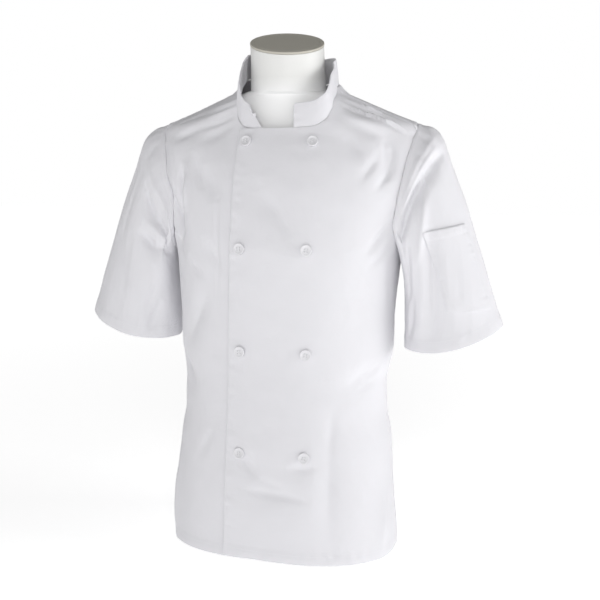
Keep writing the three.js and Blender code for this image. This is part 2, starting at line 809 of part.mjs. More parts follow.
// Buttons in two columns down the front, each square to the cloth under it
Object.entries(BUTTON_COLUMNS).forEach(([column, x]) => {
  BUTTON_ROWS.forEach((z, row) => {
    const turn = body.turnAt(x, z);
    const out = body.normal(turn, z);
    const name = `button_${column}_${row + 1}`;
    const button = piece(name, buttonGeometry(), BUTTON_WHITE);
    const depth = foldDepth(bodyFolds, turn * TURN_MM, z);
    button.position.copy(body.point(turn, z)).addScaledVector(out, BUTTON_LIFT - depth);
    button.quaternion.setFromUnitVectors(UP, out);
  });
});

export default jacket;
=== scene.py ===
# %% [markdown]
# A short-sleeved, double-breasted chef jacket on a limbless torso form. The imported solids give every size and
# place. Each cloth solid is covered here by a thin sheet of the same shape, divided finely enough to carry hems,
# seams, stitches and creases. The first cell loads the solids and hangs them under one empty for each rigid body.

# %% Load the frame
import json
import math

import bpy
import numpy as np
from mathutils import Matrix, Vector

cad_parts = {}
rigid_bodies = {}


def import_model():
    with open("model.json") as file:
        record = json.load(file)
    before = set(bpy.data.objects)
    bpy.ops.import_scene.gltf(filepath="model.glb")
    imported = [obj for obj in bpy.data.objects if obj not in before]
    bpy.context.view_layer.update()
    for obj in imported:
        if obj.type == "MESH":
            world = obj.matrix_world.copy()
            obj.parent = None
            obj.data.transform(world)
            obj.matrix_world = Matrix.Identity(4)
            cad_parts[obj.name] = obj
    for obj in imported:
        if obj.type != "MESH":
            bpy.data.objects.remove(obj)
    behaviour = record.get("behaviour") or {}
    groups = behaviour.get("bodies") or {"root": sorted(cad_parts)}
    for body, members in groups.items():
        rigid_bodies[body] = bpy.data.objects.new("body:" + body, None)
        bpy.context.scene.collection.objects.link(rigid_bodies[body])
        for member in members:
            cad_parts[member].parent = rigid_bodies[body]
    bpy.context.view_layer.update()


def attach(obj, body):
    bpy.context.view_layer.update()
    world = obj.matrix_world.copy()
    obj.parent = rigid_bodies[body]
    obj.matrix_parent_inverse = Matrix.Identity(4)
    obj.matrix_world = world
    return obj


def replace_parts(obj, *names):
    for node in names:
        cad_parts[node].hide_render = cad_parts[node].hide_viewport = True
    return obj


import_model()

MM = 0.001

# %% [markdown]
# The camera stands where the photographer's did: at chest height, a metre and a half away, a little to the
# wearer's left and tipped down. A long lens is what keeps a garment's hem and shoulders in true proportion.
# The small shift stands for the crop of the photograph, which isn't quite centred on the form.

# %% Camera
CAMERA_DISTANCE = 1.5
CAMERA_HEIGHT = 0.666
CAMERA_TURN = 14
CAMERA_PITCH = 9.95
FOCAL_PIXELS = 912
AXIS_PIXEL = 290
FRAME_PIXELS = 600
SENSOR_MM = 36

turned = math.radians(CAMERA_TURN)
camera_place = (CAMERA_DISTANCE * math.sin(turned), -CAMERA_DISTANCE * math.cos(turned), CAMERA_HEIGHT)
camera_aim = (math.radians(90 - CAMERA_PITCH), 0, turned)
bpy.ops.object.camera_add(location=camera_place, rotation=camera_aim)
camera = bpy.context.object
camera.data.sensor_width = SENSOR_MM
camera.data.lens = SENSOR_MM * FOCAL_PIXELS / FRAME_PIXELS
camera.data.shift_x = (FRAME_PIXELS / 2 - AXIS_PIXEL) / FRAME_PIXELS
bpy.context.scene.camera = camera
print("camera lens:", round(camera.data.lens, 1), "mm")

# %% [markdown]
# Cloth on a body is a smooth surface with few measurements: a pattern cutter writes down widths and depths
# at some heights and lets a curve run through them. The same is done here. A curve that never overshoots
# its points keeps the sections as clean as a tailor's drawing. All tables are in millimetres.

# %% Smooth curves
def unit(vectors):
    return vectors / np.linalg.norm(vectors, axis=-1, keepdims=True)


def mix(a, b, share):
    return a + (b - a) * share


def smoothstep(x, low, high):
    share = np.clip((x - low) / (high - low), 0, 1)
    return share * share * (3 - 2 * share)


def curve(knots, values):
    """A smooth curve through points, with no overshoot."""
    knots, values = np.array(knots, float), np.array(values, float)
    steep = np.diff(values) / np.diff(knots)
    before, after = np.append(steep[0], steep), np.append(steep, steep[-1])
    same = before * after > 0
    slope = np.where(same, 2 * before * after / np.where(same, before + after, 1), 0)

    def at(place):
        i = np.clip(np.searchsorted(knots, place) - 1, 0, len(knots) - 2)
        step = knots[i + 1] - knots[i]
        f = np.clip((place - knots[i]) / step, 0, 1)
        g = 1 - f
        ends = g * g * (1 + 2 * f) * values[i] + f * f * (1 + 2 * g) * values[i + 1]
        return ends + step * f * g * (g * slope[i] - f * slope[i + 1])

    return at


# %% [markdown]
# The body of the jacket and the torso under it are tubes of rounded-square sections. A place on a tube is
# given by its turn, in degrees from the front towards the wearer's left, and its height.

# %% Tubes of level sections
class Tube:
    def __init__(self, rows):
        columns = np.array(rows, float).T
        self.half, self.front, self.back, self.side, self.square = (
            curve(columns[0], column) for column in columns[1:]
        )

    def point(self, turn, z):
        z = np.broadcast_to(np.asarray(z, float), np.broadcast(turn, z).shape)
        power = 2 / self.square(z)
        across, along = np.sin(np.radians(turn)), np.cos(np.radians(turn))
        depth = np.where(along > 0, self.front(z), self.back(z)) - self.side(z)
        x = self.half(z) * np.sign(across) * np.abs(across) ** power
        return np.stack([x, self.side(z) + depth * np.abs(along) ** power, z], axis=-1)

    def normal(self, turn, z):
        around = self.point(turn + 3, z) - self.point(turn - 3, z)
        return unit(np.cross(around, self.point(turn, z + 6) - self.point(turn, z - 6)))

    def turn_at(self, x, z):
        share = np.clip(np.abs(x) / self.half(z), 0, 1)
        return np.sign(x) * np.degrees(np.arcsin(share ** (self.square(z) / 2)))


# Height, half width, front, back, side, squareness
BODY = Tube([
    (-13, 190, -160, 100, -30, 2.35),
    (37, 188, -158, 102, -29, 2.35),
    (87, 183, -157, 103, -28, 2.33),
    (187, 176, -150, 98, -26, 2.3),
    (237, 168, -145, 94, -25, 2.3),
    (283, 167, -142, 92, -24, 2.28),
    (337, 176, -140, 96, -20, 2.25),
    (387, 176, -140, 101, -17, 2.25),
    (437, 180, -140, 108, -12, 2.22),
    (492, 186, -139, 114, -8, 2.2),
    (537, 198, -134, 117, -4, 2.15),
    (587, 211, -124, 118, -1, 2.1),
    (627, 219, -112, 113, 2, 2.02),
    (657, 222, -100, 106, 4, 1.9),
    (677, 219, -91, 99, 5, 1.8),
    (687, 212, -87, 95, 5, 1.8),
    (693, 203, -85, 92, 5, 1.8),
    (707, 168, -80, 86, 5, 1.8),
    (744, 80, -73, 63, 5, 1.8),
    (752, 61, -70, 59, 5, 1.8),
    (762, 40, -64, 52, 5, 1.8),
])
print("jacket's chest, half width at 587:", float(BODY.half(587)), "mm")

# %% [markdown]
# Worn cloth hangs in soft troughs and ridges that run from where it is held: shoulders, armholes and the waist. Each
# fold is one stroke with its own length, depth and width. A fold has a broad bed and a narrower, crisper core,
# because woven cotton breaks more sharply than it sags.

# %% Folds
TURN_MM = 2.8
CORE = {"depth": 0.28, "width": 0.36}


def strokes(rows, across_mm, down_mm=1):
    return [(a * across_mm, b * down_mm, c * across_mm, d * down_mm, deep, wide) for a, b, c, d, deep, wide in rows]


def fold_depth(folds, a, b, core=True):
    """How far folds press the cloth in at places a across and b along it, in millimetres."""
    total = np.zeros(np.broadcast(a, b).shape)
    for start_a, start_b, end_a, end_b, deep, wide in folds:
        ahead_a, ahead_b = end_a - start_a, end_b - start_b
        reach = ahead_a**2 + ahead_b**2
        along = np.clip(((a - start_a) * ahead_a + (b - start_b) * ahead_b) / reach, 0, 1)
        off = np.hypot(a - start_a - along * ahead_a, b - start_b - along * ahead_b)
        fade = 0.35 + 0.65 * np.sin(np.pi * along)
        total += deep * fade * np.exp(-((off / wide) ** 2))
        if core:
            ends = np.sin(np.pi * np.clip(along, 0.02, 0.98))
            total += CORE["depth"] * deep * ends * np.exp(-((off / (CORE["width"] * wide)) ** 2))
    return total


def ripple(a, b, size, seed):
    """A gentle uneven surface, from about -1 to 1, with humps of the given size."""
    random = np.random.default_rng(seed)
    total = np.zeros(np.broadcast(a, b).shape)
    for _ in range(7):
        heading, start = random.uniform(0, 2 * np.pi, 2)
        wave = 2 * np.pi / (size * random.uniform(0.7, 1.6))
        total += np.sin(wave * (a * np.cos(heading) + b * np.sin(heading)) + start)
    return total / 3.5


def uneven(a, b, sizes, seeds):
    """The slight waviness of cloth at rest, in millimetres: broad humps and a few finer ones."""
    return 0.5 * ripple(a, b, sizes[0], seeds[0]) + 0.16 * ripple(a, b, sizes[1], seeds[1])


# Turn and height at each end, depth inwards and width; a ridge is negative
BODY_FOLDS = strokes([
    (-46, 632, -56, 514, 6, 15),
    (-31, 632, -25, 570, 4, 16),
    (-62, 590, -52, 510, 5, 15),
    (50, 672, 52, 602, 7, 15),
    (-4, 592, 9, 519, 3, 20),
    (-14, 184, -2, 146, 3, 18),
    (8, 163, 21, 164, 3, 18),
    (-6, 127, 15, 115, 3, 18),
    (31, 235, 28, 30, 4, 22),
    (-34, 427, -52, 350, 4, 18),
    (66, 320, 42, 290, 4, 18),
    (-72, 320, -50, 280, 5, 18),
    (74, 120, 64, 15, -6, 20),
    (-70, 140, -62, 15, -6, 20),
    (130, 550, 140, 410, 6, 20),
    (-128, 560, -142, 390, 6, 22),
    (160, 320, 130, 280, 6, 18),
    (-160, 310, -128, 290, 6, 20),
    (172, 230, 166, 40, -5, 24),
    (-150, 190, -146, 25, -6, 22),
    (140, 200, 146, 35, -6, 22),
    (150, 650, 128, 600, 4, 18),
    (-150, 640, -128, 590, 4, 18),
], TURN_MM)

# Narrow creases of worn and pressed cotton, laid over the broad folds
CREASE_GAIN = {"waist": 1, "chest": 1.9}
BODY_CREASES = strokes([
    (-47, 620, -50, 566, 3, 5),
    (-51, 572, -57, 508, 3.5, 6),
    (-44, 604, -46, 560, -1.8, 5),
    (-61, 600, -55, 530, 2.5, 6),
    (-24, 578, -26, 425, 1, 3),
    (-37, 640, -33, 596, 2, 6),
    (50, 670, 53, 628, 2.5, 7),
    (54, 622, 47, 596, 2, 6),
    (44, 640, 38, 610, 1.8, 7),
    (30, 672, 37, 642, 2.2, 9),
    (59, 728, 66, 704, -2.2, 4),
    (52, 722, 62, 694, 1.5, 4),
    (50, 712, 62, 684, -1.8, 3.5),
    (44, 716, 52, 700, 2.4, 4),
    (52, 700, 61, 676, 2, 5),
    (38, 702, 46, 687, -1.8, 5),
    (33, 692, 47, 672, 1.8, 7),
    (-38, 727, -54, 708, -1.6, 4),
    (-46, 716, -60, 694, 1.5, 4),
    (-33, 716, -44, 696, -2, 4.5),
    (-28, 700, -38, 684, 2, 5),
    (-40, 684, -53, 668, 2.2, 6),
    (-24, 690, -34, 664, 1.6, 7),
    (-4, 596, 9, 519, 1.2, 8),
    (-32, 512, -24, 470, 1.6, 8),
    (-46, 480, -36, 452, 2, 7),
    (62, 540, 50, 500, 2.5, 8),
    (66, 500, 52, 476, 2, 7),
    (-66, 520, -54, 488, 2.5, 7),
    (-72, 470, -58, 440, 2.5, 7),
    (76, 330, 58, 300, 2.5, 7),
    (70, 296, 52, 284, 2, 6),
    (-78, 318, -60, 296, 2.8, 7),
    (-74, 280, -58, 268, 2, 6),
    (-14, 188, -3, 146, 1.6, 7),
    (-3, 146, 6, 128, 1.4, 6),
    (8, 162, 22, 166, 1.5, 6),
    (24, 150, 33, 120, 1.4, 8),
    (-8, 124, 16, 114, 1.5, 6),
    (-30, 214, -38, 170, 1.5, 8),
    (34, 250, 30, 190, 1.6, 8),
    (128, 560, 138, 480, 3, 8),
    (-126, 570, -138, 486, 3, 8),
    (112, 500, 134, 468, 3, 7),
    (-112, 504, -136, 462, 3, 7),
    (158, 330, 130, 296, 3, 8),
    (150, 300, 118, 282, 2.5, 7),
    (-160, 322, -132, 292, 3, 8),
    (-148, 296, -112, 278, 2.5, 7),
    (176, 300, 168, 262, 2, 8),
    (152, 664, 134, 622, 2.2, 8),
    (-154, 652, -132, 612, 2.2, 8),
    (166, 236, 174, 150, 2, 10),
    (-164, 210, -158, 120, 2, 10),
    (104, 300, 96, 262, 3, 8),
    (-102, 306, -94, 270, 3, 8),
], TURN_MM)

# %% [markdown]
# A jacket's edges are drawn on the body as routes: necklines, shoulder seams and armholes. Each panel is a
# net between its edges, straight rows below the underarm and a stretched patch above it.

# %% Edges of the pattern
ARMPIT = 492
HEM_LEVEL = 11
HEM_TILT = 5 / 190
SEAM_TURN = 72
NECK_CORNER = {1: 743, -1: 749}
SHOULDER_TIP = 680
BACK_NECK = 749
TOP_FADE = 2.2
TOP_LAYER = {"side": 1, "edge_top": -60, "edge_hem": -73, "collar_end": 27, "top": 684}
UNDER_LAYER = {"side": -1, "edge_top": -66, "edge_hem": -70, "collar_end": 20, "top": 679}
FRONT_NECKLINE = {1: [(55, 687), (73, 696), (81, 711), (82, 728)], -1: [(52, 687), (64, 698), (69, 714), (69, 732)]}
BACK_NECKLINE = {
    1: [(180, BACK_NECK), (135, 749), (110, 747.5), (90, 745.5), (SEAM_TURN, NECK_CORNER[1])],
    -1: [(180, BACK_NECK), (135, 751.5), (110, 751.5), (90, 750.5), (SEAM_TURN, NECK_CORNER[-1])],
}
FRONT_ARMHOLE = [(90, ARMPIT), (74, 507), (63, 542), (61, 587), (62, 632), (67, 667), (SEAM_TURN, SHOULDER_TIP)]
BACK_ARMHOLE = [
    (90, ARMPIT), (106, 507), (117, 542), (120, 587), (117, 637),
    (110, 675), (101, 688), (90, 691.5), (80, 689.5), (SEAM_TURN, SHOULDER_TIP),
]


def route(places):
    """A smooth route over the body through places of turn and height, read from 0 to 1 along its length."""
    places = np.array(places, float)
    points = BODY.point(places[:, 0], places[:, 1])
    length = np.append(0, np.cumsum(np.linalg.norm(np.diff(points, axis=0), axis=1)))
    turn, z = curve(length, places[:, 0]), curve(length, places[:, 1])
    return lambda share: np.stack([turn(share * length[-1]), z(share * length[-1])], axis=-1)


def chain(first, second, joint):
    """Two routes end to end, the first one taking up the given share."""

    def at(share):
        share = np.asarray(share, float)
        early = first(np.clip(share / joint, 0, 1))
        late = second(np.clip((share - joint) / (1 - joint), 0, 1))
        return np.where((share <= joint)[..., None], early, late)

    return at


shoulder_seam = {side: route([(SEAM_TURN, z), (SEAM_TURN, SHOULDER_TIP)]) for side, z in NECK_CORNER.items()}
front_armhole, back_armhole = route(FRONT_ARMHOLE), route(BACK_ARMHOLE)
back_neckline = {side: route(places) for side, places in BACK_NECKLINE.items()}
print("edges of the pattern drawn")


# %% Nets of places
def net(edge_turn, edge_route, top, armhole, across, low, high):
    """Turn and height of each knot of half a panel, rows from the hem up."""
    u, v = np.meshgrid(across, low)
    turn = mix(edge_turn(mix(HEM_LEVEL, ARMPIT, v)), 90, u)
    hem = HEM_LEVEL - HEM_TILT * BODY.point(turn, HEM_LEVEL)[..., 0]
    below = np.stack([turn, mix(hem, ARMPIT, v)], axis=-1)
    u, v = np.meshgrid(across, high[1:])
    share = u[..., None]
    level = mix(edge_route(v), armhole(v), share)
    own = top(u) - mix(top(0.0), top(1.0), share)
    return np.concatenate([below, level + own * v[..., None] ** TOP_FADE])


def front_top(layer):
    """Neck and shoulder edge of a front, with the neckline beyond the collar's end on its own."""
    place = lambda x, z: (float(BODY.turn_at(x, z)), z)
    end = place(layer["collar_end"], layer["top"] + 1)
    flat = route([place(layer["edge_top"], layer["top"]), place(-20, layer["top"]), end])
    side = layer["side"]
    neckline = route([end] + [place(x, z) for x, z in FRONT_NECKLINE[side]] + [(SEAM_TURN, NECK_CORNER[side])])
    return chain(chain(flat, neckline, 4 / 9), shoulder_seam[side], 9 / 16), neckline


def front_net(layer, across, low, high):
    edge_x = lambda z: mix(layer["edge_hem"], layer["edge_top"], np.clip(z / layer["top"], 0, 1))
    edge_turn = lambda z: BODY.turn_at(edge_x(z), z)

    def edge_route(v):
        z = mix(ARMPIT, layer["top"], v)
        return np.stack([edge_turn(z), z], axis=-1)

    return net(edge_turn, edge_route, front_top(layer)[0], front_armhole, across, low, high)


def back_net(side, across, low, high):
    edge_route = lambda v: np.stack([np.full_like(v, 180), mix(ARMPIT, BACK_NECK, v)], axis=-1)
    top = chain(back_neckline[side], shoulder_seam[side], 5 / 13)
    return net(lambda z: np.full_like(z, 180), edge_route, top, back_armhole, across, low, high)


# %% [markdown]
# The torso form under the jacket has its own sections. They are needed here, because a fold may press the
# cloth in only as far as the form lets it.

# %% Sections of the torso form
CLOTH = 1.8
FORM = Tube([
    (0, 158, -108, 84, -14, 2.2),
    (87, 163, -116, 90, -14, 2.2),
    (187, 155, -118, 86, -14, 2.2),
    (277, 143, -106, 80, -10, 2.2),
    (367, 152, -108, 90, -6, 2.2),
    (437, 163, -112, 99, -2, 2.2),
    (492, 172, -114, 104, 0, 2.15),
    (547, 185, -112, 107, 0, 2.1),
    (587, 197, -108, 107, 1, 2.05),
    (627, 209, -99, 103, 3, 2),
    (652, 215, -90, 97, 4, 1.9),
])
REST_GAP = 1.65
FORM_TOP = 652
SHOULDER_FOOT = 671
SHOULDER_SLOPE = 23
SHOULDER_EASE = 0.3
SHOULDER_ROWS = [
    (671, -80, 85), (680, -74, 78), (686, -71, 73), (691, -70, 70), (705, -67, 67), (723, -65, 61), (736, -64, 54),
]

drop = (CLOTH + REST_GAP) / math.cos(math.radians(SHOULDER_SLOPE))
SHOULDERS = Tube([(z, float(BODY.half(z + drop)) - SHOULDER_EASE, f, b, 5, 1.8) for z, f, b in SHOULDER_ROWS])
print("torso form's shoulder rows:", len(SHOULDER_ROWS))

# %% [markdown]
# A net becomes cloth when its knots are put on the body, pressed in by the folds. The lower front runs one
# cloth deeper where the upper one covers it. Distances from each edge, measured along the cloth, tell later
# cells where a hem or a row of stitches lies.

# %% From net to skin
LAYER_GAP = 1.2
SEAM_CLEAR = 0.03
STEP = {"from": 85, "to": 140, "low": 687, "high": 722}
REST_CLEAR = 0.7
REST_EASE = 0.5
CHEST_FROM, CHEST_TO = 440, 520


def step_in(turn, z):
    """How much deeper the lower front lies where the upper one covers it."""
    x = np.abs(np.minimum(BODY.point(turn, z)[..., 0], 0))
    covered = 1 - smoothstep(x, STEP["from"], STEP["to"])
    return (CLOTH + LAYER_GAP) * covered * (1 - smoothstep(z, STEP["low"], STEP["high"]))


def room(turn, z, normals):
    """How far the cloth may be pressed in before it would touch the form."""
    point = BODY.point(turn, z)
    low, high = (((point - form.point(turn, z)) * normals).sum(axis=-1) for form in (FORM, SHOULDERS))
    return mix(low, high, smoothstep(z, FORM_TOP, SHOULDER_FOOT)) - CLOTH - REST_CLEAR


def skin(turn, z, sink=None):
    """Points and outward directions of the cloth at places of turn and height."""
    normals = BODY.normal(turn, z)
    across = turn * TURN_MM
    gain = mix(CREASE_GAIN["waist"], CREASE_GAIN["chest"], smoothstep(z, CHEST_FROM, CHEST_TO))
    depth = fold_depth(BODY_FOLDS, across, z) + gain * fold_depth(BODY_CREASES, across, z, core=False)
    depth = depth + uneven(across, z, (70, 24), (3, 4))
    if sink:
        depth = depth + sink(turn, z)
    over = depth - room(turn, z, normals)
    depth = depth - REST_EASE * np.log1p(np.exp(np.clip(over / REST_EASE, -30, 30)))
    return BODY.point(turn, z) - normals * depth[..., None], normals


def spans(points):
    """Distances in millimetres along the cloth from its four edges."""
    row = np.linalg.norm(np.diff(points, axis=1), axis=2).cumsum(axis=1)
    column = np.linalg.norm(np.diff(points, axis=0), axis=2).cumsum(axis=0)
    left = np.pad(row, ((0, 0), (1, 0)))
    bottom = np.pad(column, ((1, 0), (0, 0)))
    return {"left": left, "right": left[:, -1:] - left, "bottom": bottom, "top": bottom[-1:] - bottom}


def trimmed(points, *edges):
    """Points with some edges drawn in a little, so that neighbouring panels stay clear of each other."""
    points = points.copy()
    every = slice(None)
    for edge in edges:
        last, inner = {
            "left": ((every, 0), (every, 1)), "right": ((every, -1), (every, -2)), "top": (-1, -2),
        }[edge]
        points[last] += unit(points[inner] - points[last]) * SEAM_CLEAR
    return points


EDGE_STEPS = (0.5, 1.2, 2.4, 4)


def shares(count, length, fine=EDGE_STEPS):
    """Places from 0 to 1, closer together near both ends, for an edge of the given length."""
    near = np.array((0,) + tuple(fine)) / length
    middle = np.linspace(near[-1], 1 - near[-1], count)[1:-1]
    return np.concatenate([near, middle, 1 - near[::-1]])


# %% [markdown]
# Where cloth is sewn it is thicker, and the thread pulls it in a little, so a seam puckers. These reliefs
# are fractions of a millimetre, but they are what makes an edge read as a hem and not as cut paper.

# %% Relief of hems and seams
STITCH_IN = 2.5
FELL_ROW = 6
PUCKER_REACH = 9
HEM = {"raised": 0.7, "groove": 0.45, "groove_wide": 1.1, "pucker": 0.4, "wave": 11, "roll": 0.9, "roll_wide": 0.8}
SEAM = {"pucker": 0.35, "wave": 13, "roll": 0.15, "roll_wide": 0.5, "band": 0.9, "groove": 0.5, "groove_wide": 1}


def bell(distance, wide):
    return np.exp(-((distance / wide) ** 2))


def puckers(kind, along, distance, seed):
    """Small waves that run across a row of stitches, long in its direction."""
    return kind["pucker"] * ripple(along, distance * 0.2, kind["wave"], seed)


def rolled(kind, distance):
    """How far an edge curls inwards, which is negative."""
    return -kind["roll"] * np.exp(-distance / kind["roll_wide"])


def hem(distance, along, fold, seed, raised=HEM["raised"]):
    """A folded hem with its row of stitches just inside the fold's edge."""
    band = raised * (1 - smoothstep(distance, fold - 0.8, fold + 1.6))
    groove = -HEM["groove"] * bell(distance - fold + STITCH_IN, HEM["groove_wide"])
    pucker = puckers(HEM, along, distance, seed) * bell(distance - fold + 2, PUCKER_REACH)
    return band + groove + pucker + rolled(HEM, distance)


def seam(distance, along, seed, felled=False):
    """A seam's edge: a little rolled in, puckered, and raised over the turned-in edge where it is felled."""
    edge = rolled(SEAM, distance) + puckers(SEAM, along, distance, seed) * bell(distance, PUCKER_REACH)
    if not felled:
        return edge
    band = SEAM["band"] * (1 - bell(distance, 1.6)) * (1 - smoothstep(distance, FELL_ROW + 1, FELL_ROW + 3.5))
    return edge + band - SEAM["groove"] * bell(distance - FELL_ROW, SEAM["groove_wide"])


# %% [markdown]
# One helper turns a grid of points into a cloth piece. It starts from Blender's own grid, moves its vertices
# to their places, writes a texture map measured in metres along the cloth, so that the weave keeps its size,
# and lets a Solidify modifier give the sheet its thickness.

# %% Make a sheet of cloth
def select_only(*pieces):
    bpy.ops.object.select_all(action="DESELECT")
    for item in pieces:
        item.select_set(True)
    bpy.context.view_layer.objects.active = pieces[0]


def apply_modifier(piece, kind, **settings):
    select_only(piece)
    modifier = piece.modifiers.new(kind.title(), kind)
    for name, value in settings.items():
        setattr(modifier, name, value)
    bpy.ops.object.modifier_apply(modifier=modifier.name)


def grid_piece(name, points, normals, closed=False):
    """Blender's grid with its vertices at the given points, in millimetres, facing as the normals do."""
    rows, columns = points.shape[:2]
    bpy.ops.object.select_all(action="DESELECT")
    bpy.ops.mesh.primitive_grid_add(x_subdivisions=columns - 1, y_subdivisions=rows - 1, size=1)
    piece = bpy.context.object
    piece.name = piece.data.name = name
    r, c = rows // 2, columns // 2
    facing = np.cross(points[r, c + 1] - points[r, c], points[r + 1, c] - points[r, c]) @ normals[r, c]
    if facing < 0:
        points = points[:, ::-1]
    length = spans(points)
    uv = np.stack([length["left"], length["bottom"]], axis=-1).reshape(-1, 2) * MM
    piece.data.vertices.foreach_set("co", (points * MM).ravel())
    corners = np.zeros(len(piece.data.loops), int)
    piece.data.loops.foreach_get("vertex_index", corners)
    piece.data.uv_layers[0].data.foreach_set("uv", uv[corners].ravel())
    piece.data.update()
    if closed:
        bpy.ops.object.mode_set(mode="EDIT")
        bpy.ops.mesh.select_all(action="SELECT")
        bpy.ops.mesh.remove_doubles(threshold=0.00002)
        bpy.ops.object.mode_set(mode="OBJECT")
    return piece


def cloth(name, points, normals, thick=CLOTH, closed=False):
    piece = grid_piece(name, points, normals, closed)
    apply_modifier(piece, "SOLIDIFY", thickness=thick * MM, offset=-1, use_rim=True)
    bpy.ops.object.shade_smooth_by_angle(angle=math.radians(55))
    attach(piece, "root")
    print(name, "triangles:", 2 * len(piece.data.polygons))
    return piece


# %% [markdown]
# The front on the wearer's left is the upper layer of the double breast. Its free edge crosses the middle
# and hangs down to the hem, turned under and stitched like the hem itself. The front on the right lies
# under it, with its own free edge hidden behind.

# %% Fronts
FRONT_GRID = {"across": 112, "low": 140, "high": 96}
HEM_FOLD = 17
EDGE_FOLD = 9
FINE_MM = 20


def one_end(count, length, start):
    """Places from 0 to 1 that are closer together near the far end only."""
    places = shares(count, length)[len(EDGE_STEPS):]
    return np.concatenate([[0], places[places > start]])


across = shares(FRONT_GRID["across"], 240)
low = shares(FRONT_GRID["low"], 480, (0.5, 1.2, 2.4, 4, 8, 12, 14, 15.5, HEM_FOLD, 19))
low = low[low < 1 - 1e-6 - FINE_MM / 480]
low = np.concatenate([low, np.linspace(low[-1], 1, 8)[1:]])
high = one_end(FRONT_GRID["high"], 240, 0.012)


def front(name, side, layer, sink, top_seed):
    places = front_net(layer, across, low, high)
    turn, z = side * places[..., 0], places[..., 1]
    points, normals = skin(turn, z, sink)
    away = spans(points)
    relief = hem(away["bottom"], away["left"], HEM_FOLD, top_seed)
    relief += hem(away["left"], away["bottom"], EDGE_FOLD, top_seed + 1, 0.5)
    relief += seam(away["right"], away["bottom"], top_seed + 2)
    relief += seam(away["top"], away["left"], top_seed + 3)
    points = trimmed(points + normals * relief[..., None], "right", "top")
    return {"name": name, "points": points, "normals": normals, "away": away}


front_left = front("front_left_cloth", 1, TOP_LAYER, None, 11)
front_right = front("front_right_cloth", -1, UNDER_LAYER, step_in, 21)
pieces = {}
for panel, node in ((front_left, "front_left"), (front_right, "front_right")):
    pieces[node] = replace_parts(cloth(panel["name"], panel["points"], panel["normals"]), node)

# %% [markdown]
# The back is one panel from side seam to side seam. Its shoulder edge is felled over the fronts', which gives the
# raised line that runs from the collar to the sleeve.

# %% Back
BACK_GRID = {"across": 88, "low": 120, "high": 84}
back_across = one_end(BACK_GRID["across"], 230, 0.01)
back_high = one_end(BACK_GRID["high"], 250, 0.012)
half = back_net(1, back_across, low, back_high)
other = back_net(-1, back_across, low, back_high)[:, 1:] * (-1, 1)
places = np.concatenate([half[:, ::-1], other], axis=1)
points, normals = skin(places[..., 0], places[..., 1])
away = spans(points)
relief = hem(away["bottom"], away["left"], HEM_FOLD, 31)
relief += seam(away["left"], away["bottom"], 32, True) + seam(away["right"], away["bottom"], 33, True)
relief += seam(away["top"], away["left"], 34, True)
points = trimmed(points + normals * relief[..., None], "left", "right", "top")
back = {"points": points, "normals": normals, "away": away}
pieces["back"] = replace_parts(cloth("back_cloth", points, normals), "back")

# %% [markdown]
# A sleeve is a bent tube that leaves the armhole outwards and turns down over the arm. Every thread of it is
# one Bezier curve from a point of the armhole to a point of the cuff. The cuff is a wide, nearly level oval
# that stands away from the body, because the form has no arm to fill it.

# %% Armholes
SLEEVE_PROUD = 0.1
ARM_KNOTS = 14


def arm_loop(side, sink, count):
    """Points round an armhole, up the front and down the back, with the way across the seam."""
    share = np.linspace(0, 1, count + 1)
    places = np.concatenate([front_armhole(share), back_armhole(share)[::-1][1:-1]])
    points, normals = skin(side * places[:, 0], places[:, 1], sink)
    tangent = np.roll(points, -1, 0) - np.roll(points, 1, 0)
    out = unit(np.cross(tangent, normals))
    out *= np.sign(((points.mean(0) - points) * out).sum(1, keepdims=True))
    return points, normals, out


def arm_turns(points):
    """Turn about the arm of each point of the loop: 180 under the arm, 90 in front, 0 on top, -90 behind."""
    ring = np.vstack([points, points[:1]])
    length = np.append(0, np.cumsum(np.linalg.norm(np.diff(ring, axis=0), axis=1)))
    top = points[:, 2].argmax()
    rising = 180 * (1 - length / length[top])
    falling = -180 * (length - length[top]) / (length[-1] - length[top])
    return np.where(np.arange(len(length)) <= top, rising, falling)


# %% Sleeves
CUFF = {"x": 271, "y": -5, "z": 357, "wide": 80, "deep": 58, "tilt": 15, "dip": 0.22}
CAP_BULGE = {"size": 10, "at": 0.17, "spread": 0.13, "way": (0.77, 0, 0.64)}
# Each pair is a value level with the arm and what is added to it towards the top of the sleeve
LEAVE = {"x": (0.6, 0.32), "y": -0.3, "z": (-0.675, 0.285), "reach": (50, 14)}
ARRIVE = {"x": (-0.19, -0.15), "z": 0.97, "reach": (100, 50)}
DOWN_MM = 250
AROUND_MM = 1.3
SLEEVE_GRID = {"around": 92, "down": 96}
SLEEVE_HEM = 20

# Turn about the arm and way down at each end, depth inwards and width
SLEEVE_FOLDS = {
    1: strokes([
        (26, 0.24, 52, 0.2, 8, 14),
        (52, 0.2, 84, 0.18, 9, 14),
        (84, 0.18, 124, 0.18, 9, 14),
        (124, 0.18, 140, 0.6, 6, 15),
        (79, 0.45, 111, 0.93, 4, 15),
        (66, 0.25, 99, 0.42, -4, 14),
        (-50, 0.14, -96, 0.26, 6, 16),
        (-96, 0.26, -124, 0.8, 6, 16),
        (-40, 0.5, -56, 0.95, -4, 20),
    ], AROUND_MM, DOWN_MM),
    -1: strokes([
        (60, 0.27, 90, 0.29, 6, 14),
        (90, 0.29, 142, 0.17, 8, 14),
        (80, 0.46, 104, 0.42, 6, 13),
        (104, 0.42, 150, 0.19, 8, 13),
        (136, 0.66, 118, 0.97, 7, 16),
        (28, 0.6, 74, 0.7, 4, 18),
        (-60, 0.14, -112, 0.28, 6, 16),
        (-112, 0.28, -128, 0.85, 6, 15),
        (-24, 0.55, -62, 0.72, 4, 20),
    ], AROUND_MM, DOWN_MM),
}

